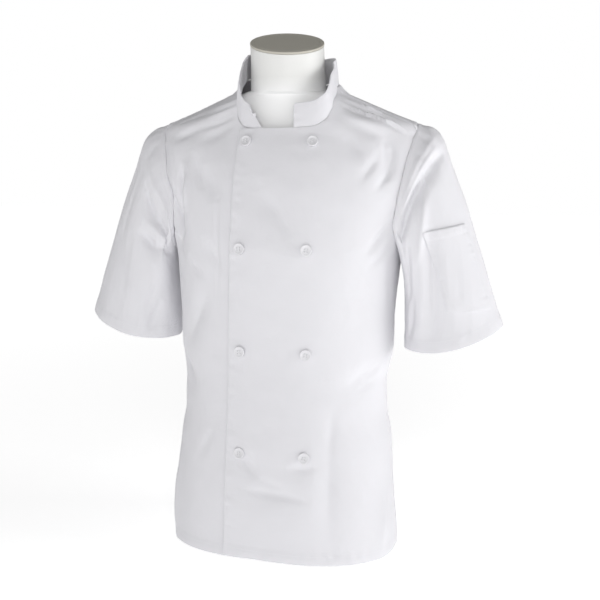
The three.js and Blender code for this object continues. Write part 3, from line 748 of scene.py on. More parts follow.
# Narrow creases, in the same columns. They are drawn stronger, and no fold goes deeper than the limit.
SLEEVE_GAIN = 1.3
DEEPEST = 12
SLEEVE_CREASES = {
    1: strokes([
        (20, 0.24, 52, 0.2, 5, 6),
        (50, 0.2, 84, 0.177, 8, 6),
        (82, 0.177, 124, 0.18, 8, 7),
        (24, 0.17, 56, 0.145, -3, 5),
        (54, 0.145, 96, 0.12, -3.5, 5),
        (16, 0.13, 50, 0.1, -2.5, 7),
        (48, 0.1, 92, 0.08, -2.5, 7),
        (70, 0.29, 100, 0.45, -2.5, 7),
        (98, 0.44, 122, 0.8, -2, 8),
        (80, 0.46, 106, 0.86, 2, 8),
        (112, 0.3, 132, 0.55, 3, 7),
        (40, 0.05, 44, 0.14, 1.5, 5),
        (20, 0.06, 26, 0.15, 1.5, 5),
        (4, 0.08, 8, 0.18, 1.2, 6),
        (130, 0.62, 150, 0.9, 3, 8),
        (-46, 0.16, -92, 0.24, 3, 7),
        (-90, 0.24, -120, 0.44, 3, 7),
        (-70, 0.36, -112, 0.52, 2.5, 7),
        (-30, 0.5, -44, 0.9, 2, 9),
    ], AROUND_MM, DOWN_MM),
    -1: strokes([
        (58, 0.27, 92, 0.29, 3, 6),
        (88, 0.29, 140, 0.175, 5, 6),
        (80, 0.46, 104, 0.425, 4, 5),
        (100, 0.43, 150, 0.19, 5, 5),
        (84, 0.365, 136, 0.2, -3, 6),
        (46, 0.19, 88, 0.155, -2, 7),
        (86, 0.155, 128, 0.11, -2, 7),
        (126, 0.55, 112, 0.82, 2, 8),
        (40, 0.36, 46, 0.62, 1.5, 7),
        (22, 0.3, 30, 0.5, 1.5, 7),
        (66, 0.55, 78, 0.84, 1.5, 8),
        (30, 0.06, 36, 0.15, 1.4, 5),
        (8, 0.06, 10, 0.16, 1.4, 5),
        (-56, 0.16, -108, 0.27, 3, 7),
        (-106, 0.27, -126, 0.5, 3, 7),
        (-80, 0.4, -118, 0.56, 2.5, 7),
        (-20, 0.55, -50, 0.7, 2, 8),
    ], AROUND_MM, DOWN_MM),
}


def bezier(a, b, c, d, share):
    rest = 1 - share
    return rest**3 * a + 3 * rest**2 * share * b + 3 * rest * share**2 * c + share**3 * d


def sleeve_points(start, turn, down):
    """Places on a sleeve of the wearer's left, in rows down the arm."""
    c, s = np.cos(np.radians(turn)), np.sin(np.radians(turn))
    tilt = math.radians(CUFF["tilt"])
    cuff = np.stack([
        CUFF["x"] + CUFF["wide"] * c * math.cos(tilt),
        CUFF["y"] - CUFF["deep"] * s,
        CUFF["z"] + CUFF["wide"] * c * math.sin(tilt) - CUFF["deep"] * CUFF["dip"] * np.abs(s) * s,
    ], axis=-1)
    vary = lambda pair: pair[0] + pair[1] * c
    leave = np.stack([vary(LEAVE["x"]), LEAVE["y"] * s, vary(LEAVE["z"])], axis=-1) * vary(LEAVE["reach"])[:, None]
    arrive = np.stack([vary(ARRIVE["x"]), 0 * c, ARRIVE["z"] + 0 * c], axis=-1) * vary(ARRIVE["reach"])[:, None]
    path = bezier(start, start + leave, cuff + arrive, cuff, down[:, None, None])
    hump = bell(down - CAP_BULGE["at"], CAP_BULGE["spread"]) * smoothstep(down, 0, 0.1)
    swell = CAP_BULGE["size"] * hump[:, None] * np.maximum(c, 0) ** 2
    return path + swell[..., None] * np.array(CAP_BULGE["way"])


def sleeve(side, sink, seed):
    count = SLEEVE_GRID["around"]
    coarse = arm_turns(arm_loop(side, sink, ARM_KNOTS)[0])
    points, normals, out = arm_loop(side, sink, count)
    ring = np.arange(2 * count + 1) * (ARM_KNOTS / count)
    turn = curve(np.arange(len(coarse)), coarse)(ring)[:-1]
    mirror = np.array([side, 1, 1])
    starts = (points + out * SEAM_CLEAR + normals * SLEEVE_PROUD) * mirror
    down = shares(SLEEVE_GRID["down"], 270, (0.5, 1.2, 2.4, 4, 7, 12, 15, 17, 19, 21))
    rows = sleeve_points(starts, turn, down)
    around = np.roll(rows, -1, 1) - np.roll(rows, 1, 1)
    along = np.gradient(rows, axis=0)
    facing = unit(np.cross(along, around))
    a, b = turn * AROUND_MM, down[:, None] * DOWN_MM
    folds = fold_depth(SLEEVE_FOLDS[side], a, b)
    folds = folds + SLEEVE_GAIN * fold_depth(SLEEVE_CREASES[side], a, b, core=False)
    folds = folds + uneven(a * 1.6, b, (60, 22), (seed, seed + 5))
    folds = DEEPEST * np.tanh(folds / DEEPEST)
    rows = rows - facing * (folds * smoothstep(down, 0, 0.12)[:, None])[..., None]
    close = lambda grid: np.concatenate([grid, grid[:, :1]], axis=1) * mirror
    rows, facing = close(rows), close(facing)
    away = spans(rows)
    relief = hem(away["top"], away["left"], SLEEVE_HEM, seed + 1)
    relief += seam(away["bottom"], away["left"], seed + 2, True)
    return {"points": rows + facing * relief[..., None], "normals": facing, "away": away}


sleeve_left, sleeve_right = sleeve(1, None, 41), sleeve(-1, step_in, 51)
for grid, node in ((sleeve_left, "sleeve_left"), (sleeve_right, "sleeve_right")):
    pieces[node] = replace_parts(cloth(node + "_cloth", grid["points"], grid["normals"], closed=True), node)

# %% [markdown]
# The pen pocket is a patch sewn on the outside of the left sleeve. Its mouth is open and a little slack, and
# its other three edges are turned under and stitched down.

# %% Sleeve pocket
POCKET = {"from": 8, "to": 13, "mouth_inner": 528, "mouth_outer": 540, "bottom": 407, "lift": 0.6}
POCKET_CLOTH = 1.5
POCKET_GRID = {"across": 52, "down": 62}
MOUTH_FOLD = 12
PATCH_FOLD = 4
MOUTH_SLACK = 1.6
MOUTH_REACH = 22


def pocket():
    grid = sleeve_left
    count = SLEEVE_GRID["around"]
    u = shares(POCKET_GRID["across"], 90)
    v = shares(POCKET_GRID["down"], 125, (0.5, 1.2, 2.4, 4, 7, 9.5, 11, 12, 14))
    column = mix(POCKET["from"], POCKET["to"], u) * count / ARM_KNOTS
    left, f = np.floor(column).astype(int), (column % 1)[None, :, None]
    lane = mix(grid["points"][:, left], grid["points"][:, left + 1], f)
    lane_normals = unit(mix(grid["normals"][:, left], grid["normals"][:, left + 1], f))
    height = mix(mix(POCKET["mouth_inner"], POCKET["mouth_outer"], u)[None, :], POCKET["bottom"], v[:, None])
    points, normals = np.zeros((len(v), len(u), 3)), np.zeros((len(v), len(u), 3))
    for i in range(len(u)):
        fall = -lane[:, i, 2]
        for k in range(3):
            points[:, i, k] = np.interp(-height[:, i], fall, lane[:, i, k])
            normals[:, i, k] = np.interp(-height[:, i], fall, lane_normals[:, i, k])
    normals = unit(normals)
    away = spans(points)
    relief = hem(away["bottom"], away["left"], MOUTH_FOLD, 61, 0.5)
    for side, seed in (("left", 62), ("right", 63), ("top", 64)):
        relief += hem(away[side], away["bottom"], PATCH_FOLD, seed, 0.2)
    slack = MOUTH_SLACK * bell(away["bottom"], MOUTH_REACH) * np.sin(np.pi * u) ** 1.5
    lift = POCKET["lift"] + POCKET_CLOTH + slack + relief
    return {"points": points + normals * lift[..., None], "normals": normals, "away": away}


pocket_grid = pocket()
pieces["sleeve_pocket"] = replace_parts(
    cloth("sleeve_pocket_cloth", pocket_grid["points"], pocket_grid["normals"], POCKET_CLOTH), "sleeve_pocket"
)

# %% [markdown]
# The band collar stands on the neckline and leans in towards the neck. Its two ends don't meet: the one on
# the wearer's left is upright, the other one slopes back, and both have softly rounded corners.

# %% Collar
COLLAR_CLOTH = 2.4
COLLAR_LIFT = 0.5
COLLAR = {"front": 36, "back": 40, "spread": 28, "corner": 5}
COLLAR_LEAN = curve([0, 0.5, 0.78, 1], [8, 7, 3, 9])
COLLAR_FOLD = 6
COLLAR_ROUND = 0.8
COLLAR_GRID = {"along": 220, "up": 16}
NECK_CENTRE = -8
NECK_STEPS = 20
QUARTER = 5
left_neckline, right_neckline = front_top(TOP_LAYER)[1], front_top(UNDER_LAYER)[1]


def neck_foot(u):
    """Points of the neckline from the collar's left end round the back to its right end."""
    step = np.clip(u, 0, 1) * NECK_STEPS
    middle = NECK_STEPS / 2
    left = left_neckline(np.clip(step / QUARTER, 0, 1))
    rear_share = np.clip(np.abs(step - middle) / QUARTER, 0, 1)
    on_left = step < middle
    rear = np.where(on_left[..., None], back_neckline[1](rear_share), back_neckline[-1](rear_share))
    right = right_neckline(np.clip((NECK_STEPS - step) / QUARTER, 0, 1))
    left_points = skin(left[..., 0], left[..., 1])[0]
    rear_points = skin(rear[..., 0] * np.where(on_left, 1, -1), rear[..., 1])[0]
    right_points = skin(-right[..., 0], right[..., 1], step_in)[0]
    front = np.where(on_left[..., None], left_points, right_points)
    return np.where((np.abs(step - middle) <= QUARTER)[..., None], rear_points, front)


def collar():
    u = shares(COLLAR_GRID["along"], 440)
    v = shares(COLLAR_GRID["up"], 38, (0.5, 1.2, 2.4, 4, 5.5, 7))
    line = neck_foot(u)
    length = np.linalg.norm(np.diff(line, axis=0), axis=1).sum()
    share_u, share_v = np.meshgrid(u, v)
    end_left, end_right = share_u * length, (1 - share_u) * length
    height = mix(COLLAR["front"], COLLAR["back"], np.sin(np.pi * share_u) ** 0.7)
    near_end = np.minimum(end_left, end_right)
    corner = COLLAR["corner"]
    cut = corner - np.sqrt(np.maximum(corner**2 - np.maximum(corner - near_end, 0) ** 2, 0))
    height = (height - cut) * share_v
    spread = COLLAR["spread"] / length * share_v**1.1 * share_u**8
    base = neck_foot(share_u - spread)
    out = unit(base * (1, 1, 0) - (0, NECK_CENTRE, 0))
    lean = np.radians(COLLAR_LEAN(share_u))
    points = base + np.array([0, 0, 1]) * (COLLAR_LIFT + height * np.cos(lean))[..., None]
    points = points - out * (height * np.sin(lean))[..., None]
    away = spans(points)
    relief = hem(away["top"], away["left"], COLLAR_FOLD, 71, 0.25)
    for side, seed in (("left", 72), ("right", 73)):
        relief += hem(away[side], away["bottom"], COLLAR_FOLD, seed, 0.2)
    relief += seam(away["bottom"], away["left"], 74)
    relief += COLLAR_ROUND * np.sin(np.pi * share_v) + 0.4 * ripple(share_u * length, share_v * 30, 45, 75)
    return {"points": points + out * relief[..., None], "normals": out, "away": away}


collar_grid = collar()
pieces["collar"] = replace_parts(
    cloth("collar_cloth", collar_grid["points"], collar_grid["normals"], COLLAR_CLOTH), "collar"
)

# %% [markdown]
# The torso form is a smooth moulded shell. Its rings are the solid's own, read through the same curves and
# drawn much finer, so that the neck that shows is truly round. The lid that shuts the neck is a turned disc.

# %% Torso form
# Middle's place from front to back, height, radius and forward tilt
NECK = [(-9, 743.5, 60, 4), (-10, 762, 59.5, 9), (-13, 782, 58.5, 15), (-18, 813, 58, 20)]
NECK_TURN = 14
FORM_COLUMNS = 144


def lean(tilt):
    turned_by = math.radians(NECK_TURN)
    return Matrix.Rotation(math.radians(tilt), 3, Vector((math.cos(turned_by), math.sin(turned_by), 0)))


def form_rings():
    turn = np.linspace(-180, 180, FORM_COLUMNS + 1)
    torso = [FORM.point(turn, z) for z in np.append(np.linspace(0, 630, 50), [640, 652])]
    shoulders = [SHOULDERS.point(turn, z) for z in (671, 675, 680, 686, 691, 698, 705, 714, 723, 730, 736)]
    around = np.radians(turn - 90)
    flat = np.stack([np.cos(around), np.sin(around), 0 * around], axis=-1)
    heights = [row[1] for row in NECK]
    y, radius, tilt = (curve(heights, [row[i] for row in NECK]) for i in (0, 2, 3))
    neck = []
    for z in np.linspace(NECK[0][1], NECK[-1][1], 16):
        turned_ring = flat * float(radius(z)) @ np.array(lean(float(tilt(z)))).T
        neck.append(turned_ring + (0, float(y(z)), z))
    return np.array(torso + shoulders + neck)


rings = form_rings()
outward = unit((rings - rings.mean(axis=1, keepdims=True)) * (1, 1, 0))
torso = grid_piece("torso_form_shell", rings, outward, closed=True)
bpy.ops.object.mode_set(mode="EDIT")
bpy.ops.mesh.select_all(action="SELECT")
bpy.ops.mesh.fill_holes(sides=0)
bpy.ops.mesh.normals_make_consistent(inside=False)
bpy.ops.object.mode_set(mode="OBJECT")
bpy.ops.object.shade_smooth_by_angle(angle=math.radians(40))
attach(torso, "root")
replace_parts(torso, "torso_form")
print("torso form triangles:", 2 * len(torso.data.polygons))

# %% Neck cap
CAP = {"radius": 58.5, "thick": 4, "gap": 0.3, "edge": 1.2, "groove_at": 5, "groove_wide": 0.8, "groove_deep": 0.5}


def turned_disc(name, radius, thick, edge, sides):
    """A disc lying level with its underside at zero, its rims rounded."""
    bpy.ops.object.select_all(action="DESELECT")
    bpy.ops.mesh.primitive_cylinder_add(
        vertices=sides, radius=radius * MM, depth=thick * MM, location=(0, 0, thick * MM / 2)
    )
    piece = bpy.context.object
    piece.name = piece.data.name = name
    bpy.ops.object.transform_apply(location=True)
    apply_modifier(piece, "BEVEL", width=edge * MM, segments=4, limit_method="ANGLE", angle_limit=math.radians(60))
    return piece


def select_faces(piece, wanted):
    """Selects the faces for which wanted(centre, normal) is true, in edit mode."""
    bpy.ops.object.mode_set(mode="EDIT")
    bpy.ops.mesh.select_mode(type="FACE")
    bpy.ops.mesh.select_all(action="DESELECT")
    bpy.ops.object.mode_set(mode="OBJECT")
    for face in piece.data.polygons:
        face.select = bool(wanted(face.center, face.normal))
    bpy.ops.object.mode_set(mode="EDIT")


def press_top(piece, thick, steps):
    """Insets the top face of a disc step by step; each step has a width, and a depth that is negative downwards."""
    select_faces(piece, lambda centre, normal: normal.z > 0.99 and centre.z > 0.9 * thick * MM)
    for wide, deep in steps:
        bpy.ops.mesh.inset(thickness=wide * MM, depth=deep * MM)
    bpy.ops.object.mode_set(mode="OBJECT")


def settle(piece, place):
    """Moves a finished mesh to its place and leaves its object at the origin."""
    piece.data.transform(place)
    piece.data.update()


cap = turned_disc("neck_cap_disc", CAP["radius"], CAP["thick"], CAP["edge"], 96)
deep = CAP["groove_deep"]
press_top(cap, CAP["thick"], [(CAP["groove_at"], 0), (deep, -deep), (CAP["groove_wide"], 0), (deep, deep)])
bpy.ops.object.shade_smooth_by_angle(angle=math.radians(40))
top_ring = NECK[-1]
tilted = lean(top_ring[3]).to_4x4()
cap_place = Matrix.Translation(Vector((0, top_ring[0], top_ring[1])) * MM) @ tilted
settle(cap, cap_place @ Matrix.Translation((0, 0, CAP["gap"] * MM)))
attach(cap, "root")
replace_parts(cap, "neck_cap")
print("neck cap triangles:", 2 * len(cap.data.polygons))

# %% [markdown]
# Eight flat moulded buttons in two columns close the front. One is modelled: a disc whose face is inset and
# pressed down into a dish, with four holes drilled by a Boolean modifier and two short bridges of thread.
# Each of the others is a copy with a mesh of its own, set square to the cloth under it.

# %% Model one button
BUTTON = {"radius": 9, "thick": 3, "edge": 0.7, "dish": 0.8, "rim": 2.2, "lift": 1.1, "hole": 0.95, "hole_at": 1.9}
BUTTON_ROWS = (664, 503, 343, 182)
BUTTON_COLUMNS = {"left": 58, "right": -46}

button = turned_disc("button", BUTTON["radius"], BUTTON["thick"], BUTTON["edge"], 48)
press_top(button, BUTTON["thick"], [
    (BUTTON["rim"] - BUTTON["edge"], 0), (0.7, -0.6 * BUTTON["dish"]), (0.6, -0.4 * BUTTON["dish"]),
])
for x in (-1, 1):
    for y in (-1, 1):
        bpy.ops.object.select_all(action="DESELECT")
        place = (x * BUTTON["hole_at"] * MM, y * BUTTON["hole_at"] * MM, 0)
        bpy.ops.mesh.primitive_cylinder_add(
            vertices=14, radius=BUTTON["hole"] * MM, depth=4 * BUTTON["thick"] * MM, location=place
        )
        drill = bpy.context.object
        apply_modifier(button, "BOOLEAN", operation="DIFFERENCE", object=drill, solver="EXACT")
        bpy.data.objects.remove(drill)
select_only(button)
bpy.ops.object.shade_smooth_by_angle(angle=math.radians(35))
print("one button, faces:", len(button.data.polygons))

# %% Thread through the button
BRIDGE = {"past_hole": 0.5, "half_wide": 0.65, "half_high": 0.55, "above_dish": 0.15}


def thread_bridge(y):
    """A flat bead of thread that lies in the dish from hole to hole."""
    bpy.ops.object.select_all(action="DESELECT")
    height = (BUTTON["thick"] - BUTTON["dish"] + BRIDGE["above_dish"]) * MM
    bpy.ops.mesh.primitive_uv_sphere_add(segments=12, ring_count=8, radius=MM, location=(0, y * MM, height))
    bridge = bpy.context.object
    bridge.scale = (BUTTON["hole_at"] + BRIDGE["past_hole"], BRIDGE["half_wide"], BRIDGE["half_high"])
    bpy.ops.object.transform_apply(location=True, rotation=False, scale=True)
    bpy.ops.object.shade_smooth()
    return bridge


bridges = [thread_bridge(BUTTON["hole_at"]), thread_bridge(-BUTTON["hole_at"])]
print("thread bridges:", len(bridges))

# %% [markdown]
# Rows of stitches hold every hem and seam. A stitch is one small bead of thread, and a row stamps it along a
# line of the cloth, each a little off in length and angle, as a machine on real cloth does.

# %% Lines on the cloth
def line_up(grid, measure, level):
    """The line across a grid's columns where a distance from its top or bottom edge has one value."""
    points, normals = grid["points"], grid["normals"]
    distance = grid["away"][measure]
    order = slice(None) if distance[0, 0] < distance[-1, 0] else slice(None, None, -1)
    found = [[np.interp(level, distance[order, c], array[order, c, k]) for k in range(3)]
             for array in (points, normals) for c in range(points.shape[1])]
    count = points.shape[1]
    return np.array(found[:count]), unit(np.array(found[count:]))


def line_along(grid, measure, level):
    """The line up a grid's rows where a distance from its left or right edge has one value."""
    turned_grid = {
        "points": grid["points"].swapaxes(0, 1),
        "normals": grid["normals"].swapaxes(0, 1),
        "away": {measure: grid["away"][measure].T},
    }
    return line_up(turned_grid, measure, level)


# %% Stamp stitches along lines
STITCH = {"pitch": 3.1, "long": 2.3, "wide": 0.55, "high": 0.4, "proud": 0.12, "uneven": 0.08, "skew": 0.05}
AHEAD_MM = 0.6
bpy.ops.object.select_all(action="DESELECT")
bpy.ops.mesh.primitive_uv_sphere_add(segments=6, ring_count=4, radius=0.5)
bead = bpy.context.object
bead_points = np.array([tuple(v.co) for v in bead.data.vertices])[:, [2, 0, 1]]
bead_faces = [list(face.vertices) for face in bead.data.polygons]
bpy.data.objects.remove(bead)


def stitch_frames(line, seed):
    """Centre, direction, side and normal of each stitch of one row."""
    points, normals = line
    step = np.linalg.norm(np.diff(points, axis=0), axis=1)
    length = np.append(0, np.cumsum(step))
    count = max(int(length[-1] / STITCH["pitch"]), 1)
    random = np.random.default_rng(seed)
    at = (np.arange(count) + 0.5) * length[-1] / count + random.normal(0, STITCH["uneven"], count)
    read = lambda array, where: np.stack([np.interp(where, length, array[:, k]) for k in range(3)], axis=-1)
    ahead = unit(read(points, at + AHEAD_MM) - read(points, at - AHEAD_MM) + 1e-9)
    normal = unit(read(normals, at))
    side = unit(np.cross(normal, ahead))
    ahead = unit(ahead + side * random.normal(0, STITCH["skew"], (count, 1)))
    return read(points, at), ahead, side, np.cross(ahead, side)


def stitches(name, lines, seed):
    """One piece with a bead of thread for each stitch of the given lines."""
    vertices, faces = [], []
    for number, line in enumerate(lines):
        for centre, ahead, side, normal in zip(*stitch_frames(line, seed + number)):
            first = len(vertices) * len(bead_points)
            shape = np.stack([ahead * STITCH["long"], side * STITCH["wide"], normal * STITCH["high"]])
            vertices.append(bead_points @ shape + centre + normal * STITCH["proud"])
            faces += [[first + corner for corner in face] for face in bead_faces]
    mesh = bpy.data.meshes.new(name)
    mesh.from_pydata((np.concatenate(vertices) * MM).tolist(), [], faces)
    piece = bpy.data.objects.new(name, mesh)
    bpy.context.scene.collection.objects.link(piece)
    select_only(piece)
    bpy.ops.object.shade_smooth()
    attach(piece, "root")
    print(name, "stitches:", len(vertices))
    return piece


# %% Sew the panels
SECOND_ROW = 1.8
PATCH_ROW = 1.6
BAND_ROW = COLLAR_FOLD - STITCH_IN


def sleeve_rows(grid):
    return [line_up(grid, "top", SLEEVE_HEM - STITCH_IN), line_up(grid, "bottom", FELL_ROW)]


def side_rows(grid, level):
    return [line_along(grid, side, level) for side in ("left", "right")]


stitch_rows = {
    "front_left": [line_up(front_left, "bottom", HEM_FOLD - STITCH_IN)]
    + [line_along(front_left, "left", level) for level in (EDGE_FOLD - STITCH_IN, SECOND_ROW)],
    "front_right": [line_up(front_right, "bottom", HEM_FOLD - STITCH_IN)],
    "back": [line_up(back, "bottom", HEM_FOLD - STITCH_IN)] + side_rows(back, FELL_ROW),
    "sleeve_left": sleeve_rows(sleeve_left),
    "sleeve_right": sleeve_rows(sleeve_right),
    "sleeve_pocket": [line_up(pocket_grid, "bottom", MOUTH_FOLD - STITCH_IN), line_up(pocket_grid, "top", PATCH_ROW)]
    + side_rows(pocket_grid, PATCH_ROW),
    "collar": [line_up(collar_grid, "top", BAND_ROW)] + side_rows(collar_grid, BAND_ROW)
    + [line_up(collar_grid, "bottom", STITCH_IN)],
}
sewn = {}
for i, (node, rows) in enumerate(stitch_rows.items()):
    sewn[node] = stitches(node + "_stitches", rows, 100 + 10 * i)

# %% Place the buttons
def button_place(x, z):
    """Where a button sits: clear of the cloth on its thread, square to it."""
    turn = BODY.turn_at(x, z)
    point, normal = skin(np.array([turn]), np.array([float(z)]))
    out = Vector(normal[0])
    seat = Vector(point[0]) + out * BUTTON["lift"]
    upright = Vector((0, 0, 1)).rotation_difference(out).to_matrix().to_4x4()
    return Matrix.Translation(seat * MM) @ upright


for column, x in BUTTON_COLUMNS.items():
    for row, z in enumerate(BUTTON_ROWS, start=1):
        node = f"button_{column}_{row}"
        parts = []
        for base, part in [(button, "disc")] + [(bridge, f"thread_{i}") for i, bridge in enumerate(bridges, start=1)]:
            copy = bpy.data.objects.new(f"{node}_{part}", base.data.copy())
            bpy.context.scene.collection.objects.link(copy)
            settle(copy, button_place(x, z))
            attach(copy, "root")
            parts.append(copy)
        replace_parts(parts[0], node)
for base in [button] + bridges:
    bpy.data.objects.remove(base)
print("buttons placed:", len(BUTTON_ROWS) * len(BUTTON_COLUMNS))

# %% [markdown]
# Shader nodes are easier to read as arithmetic. This small class wraps a socket, so that adding two of them
# adds a Math node. Everything else goes through one method that takes a node's type, settings and inputs.

# %% Shader arithmetic
class Wire:
    """A socket whose numbers can be added, multiplied and so on."""

    def __init__(self, nodes, socket):
        self.nodes, self.socket = nodes, socket

    def math(self, operation, *others):
        inputs = dict(enumerate((self, *others)))
        return self.nodes.node("ShaderNodeMath", {"operation": operation}, inputs)

    def __add__(self, other):
        return self.math("ADD", other)

    def __mul__(self, other):
        return self.math("MULTIPLY", other)

    def __sub__(self, other):
        return self.math("SUBTRACT", other)

    def __rsub__(self, other):
        return self * -1 + other

    __radd__, __rmul__ = __add__, __mul__


class Nodes:
    """A node tree under construction."""

    def __init__(self, tree):
        self.tree = tree

    def set(self, node, inputs):
        for name, value in inputs.items():
            if isinstance(value, Wire):
                self.tree.links.new(value.socket, node.inputs[name])
            else:
                node.inputs[name].default_value = value

    def node(self, kind, settings={}, inputs={}, output=0):
        made = self.tree.nodes.new(kind)
        for name, value in settings.items():
            setattr(made, name, value)
        self.set(made, inputs)
        return Wire(self, made.outputs[output])


class Finish(Nodes):
    """A material under construction."""

    def __init__(self, name, color, roughness):
        self.material = bpy.data.materials.new(name)
        self.material.use_nodes = True
        super().__init__(self.material.node_tree)
        self.shader = self.tree.nodes["Principled BSDF"]
        self.set(self.shader, {"Base Color": (*color, 1), "Roughness": roughness})

    def blend(self, share, first, second):
        inputs = {"Factor": share, 6: (*first, 1), 7: (*second, 1)}
        return self.node("ShaderNodeMix", {"data_type": "RGBA"}, inputs, 2)

    def bump(self, height, distance, strength=1, under=None):
        inputs = {"Height": height, "Distance": distance, "Strength": strength}
        if under:
            inputs["Normal"] = under
        return self.node("ShaderNodeBump", {}, inputs)

    def wear(self, **inputs):
        self.set(self.shader, {name.replace("_", " "): value for name, value in inputs.items()})


# %% [markdown]
# The jacket is bleached cotton twill: fine diagonal ribs about half a millimetre apart, matt, with a faint
# soft sheen where it turns away. The ribs are drawn on the sheet's own measured map. The tone drifts a
# little from place to place, as pressed white cloth does, and small puckers break up the smooth panels.

# %% Cotton twill
COTTON = (0.765, 0.76, 0.79)
RIB = 0.0006


def cotton_finish(name, color=COTTON):
    finish = Finish(name, color, 0.82)
    place = finish.node("ShaderNodeTexCoord", {}, {}, "UV")
    split = lambda axis: finish.node("ShaderNodeSeparateXYZ", {}, {"Vector": place}, axis)
    across, along = split("X"), split("Y")
    ribs = ((across + along) * (2 * math.pi / RIB)).math("SINE")
    yarn = ((across - along) * (2 * math.pi / (RIB * 0.7))).math("SINE")
    solid = finish.node("ShaderNodeTexCoord", {}, {}, "Object")
    drift = finish.node("ShaderNodeTexNoise", {}, {"Vector": solid, "Scale": 9, "Detail": 3})
    puckers = finish.node("ShaderNodeTexNoise", {}, {"Vector": solid, "Scale": 55, "Detail": 2})
    darker = tuple(part * 0.965 for part in color)
    soft = finish.bump(puckers, 0.0012, 0.5)
    weave = finish.bump(ribs * 0.7 + yarn * 0.3, 0.00008, 0.6, soft)
    finish.wear(
        Base_Color=finish.blend(drift, darker, color), Roughness=drift * 0.08 + 0.78, Normal=weave,
        Sheen_Weight=0.15, Sheen_Roughness=0.5, Specular_IOR_Level=0.25,
    )
    return finish.material


cotton = cotton_finish("cotton_twill")
thread = Finish("sewing_thread", (0.8, 0.8, 0.82), 0.7).material

# %% Form, cap and button finishes
def shell_finish(name, color, roughness, grain, relief, painted_light_tone=None):
    """Moulded plastic or painted resin with a fine uneven surface, and, if asked, a paler tone painted low on the
    neck: painted light that stands in for the light the collar's shade takes from it.
    """
    finish = Finish(name, color, roughness)
    solid = finish.node("ShaderNodeTexCoord", {}, {}, "Object")
    cloud = finish.node("ShaderNodeTexNoise", {}, {"Vector": solid, "Scale": 14, "Detail": 3})
    fine = finish.node("ShaderNodeTexNoise", {}, {"Vector": solid, "Scale": grain, "Detail": 2})
    darker = tuple(part * 0.95 for part in color)
    tone = finish.blend(cloud, darker, color)
    # Painted light: below the middle of the neck the form is painted paler, to brighten the lower neck where the
    # collar shades it.
    if painted_light_tone:
        height = finish.node("ShaderNodeSeparateXYZ", {}, {"Vector": solid}, "Z")
        ends = {"From Min": 0.735, "From Max": 0.762, "To Min": 1, "To Max": 0}
        low = finish.node("ShaderNodeMapRange", {}, {"Value": height, **ends})
        tone = finish.node("ShaderNodeMix", {"data_type": "RGBA"}, {"Factor": low, 6: tone, 7: (*painted_light_tone, 1)}, 2)
    finish.wear(
        Base_Color=tone, Roughness=cloud * 0.12 + (roughness - 0.06),
        Normal=finish.bump(fine, relief, 0.6),
    )
    return finish.material


# The shell's pale low tone is painted light for the shaded lower neck.
shell = shell_finish("painted_shell", (0.75, 0.75, 0.735), 0.5, 220, 0.0002, (0.9, 0.9, 0.9))
lid = shell_finish("cap_paint", (0.5, 0.48, 0.42), 0.62, 400, 0.0002)
plastic = shell_finish("button_plastic", (0.75, 0.745, 0.77), 0.45, 300, 0.00003)

for piece in pieces.values():
    piece.data.materials.append(cotton)
for piece in sewn.values():
    piece.data.materials.append(thread)
for piece in bpy.data.objects:
    if piece.name.startswith("button_") and piece.name.endswith("_disc"):
        piece.data.materials.append(plastic)
    if "_thread_" in piece.name:
        piece.data.materials.append(thread)
torso.data.materials.append(shell)
cap.data.materials.append(lid)

# %% [markdown]
# The cloth grids are gathered by name, and the diagonals of each grid's cells are worked out in metres.
# Each sheet is declared with the size it was cut to before it was sewn, measured on the panels as they were
# built, and with what it rests on.

# %% Cell diagonals of the cloth
grids = {
    "front_left": front_left, "front_right": front_right, "back": back, "sleeve_left": sleeve_left,
    "sleeve_right": sleeve_right, "sleeve_pocket": pocket_grid, "collar": collar_grid,
}
for node, grid in grids.items():
    points = grid["points"] * MM
    rising, falling = points[1:, 1:] - points[:-1, :-1], points[1:, :-1] - points[:-1, 1:]
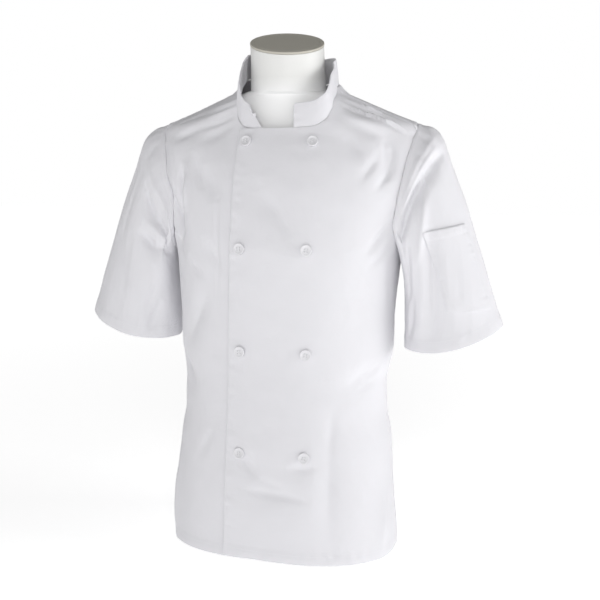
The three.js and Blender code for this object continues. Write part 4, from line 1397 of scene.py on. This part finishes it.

# %% [markdown]
# A pale floor that glows with painted light, and soft, low, frontal light, brighter from the camera's right. The sky
# over the set is dim, so the tops of the shoulders fall darker than the chest, as they do in a studio with no ceiling
# light.

# %% Floor and light
def backdrop(name, near, far, painted_glow):
    """White paper that glows with painted light and so also lights the jacket from below; the glow is a little
    brighter far from the jacket than close to it.
    """
    finish = Finish(name, (0.93, 0.93, 0.93), 0.9)
    place = finish.node("ShaderNodeTexCoord", {}, {}, "Object")
    distance = finish.node("ShaderNodeVectorMath", {"operation": "LENGTH"}, {"Vector": place}, "Value")
    ends = {"From Min": 0.6, "From Max": 2.5}
    share = finish.node("ShaderNodeMapRange", {}, {"Value": distance, **ends})
    # Painted light: the floor glows though it is no lamp, and glows less near the jacket.
    finish.wear(Emission_Color=finish.blend(share, (near,) * 3, (far,) * 3), Emission_Strength=painted_glow)
    return finish.material


bpy.ops.object.select_all(action="DESELECT")
bpy.ops.mesh.primitive_plane_add(size=14, location=(0, 0, -0.0005))
floor = bpy.context.object
floor.name = "floor"
# The floor's glow is painted light.
floor.data.materials.append(backdrop("floor_painted_glow", 0.8, 1, 0.8))


def area_light(name, place, aim, size, power):
    bpy.ops.object.light_add(type="AREA", location=place)
    lamp = bpy.context.object
    lamp.name = name
    lamp.data.shape = "RECTANGLE"
    lamp.data.size, lamp.data.size_y = size
    lamp.data.energy = power
    lamp.rotation_euler = (Vector(aim) - Vector(place)).to_track_quat("-Z", "Y").to_euler()


area_light("front", (0.3, -2.6, 1.4), (0, 0, 0.4), (1.8, 1.2), 22)
area_light("right", (2.5, 0.1, 0.7), (0, 0, 0.4), (1, 1), 25)
SKY = {"front": 0.72, "behind": 0.4, "above": 0.14}
world = bpy.data.worlds.new("studio")
bpy.context.scene.world = world
world.use_nodes = True
sky = Nodes(world.node_tree)
way = sky.node("ShaderNodeTexCoord")
y, z = (sky.node("ShaderNodeSeparateXYZ", {}, {"Vector": way}, axis) for axis in ("Y", "Z"))


def fade(value, start, end, first, last):
    ends = {"From Min": start, "From Max": end, "To Min": first, "To Max": last}
    return sky.node("ShaderNodeMapRange", {}, {"Value": value, **ends})


around, upward = fade(y, -0.3, 0.7, SKY["front"], SKY["behind"]), fade(z, 0.1, 0.7, 1, 0)
lighting = around * upward + (1 - upward) * SKY["above"]
seen = sky.node("ShaderNodeLightPath", {}, {}, "Is Camera Ray")
sky.set(
    world.node_tree.nodes["Background"], {"Color": (1, 1, 1, 1), "Strength": lighting * (1 - seen) + seen}
)
bpy.context.scene.view_settings.view_transform = "Standard"
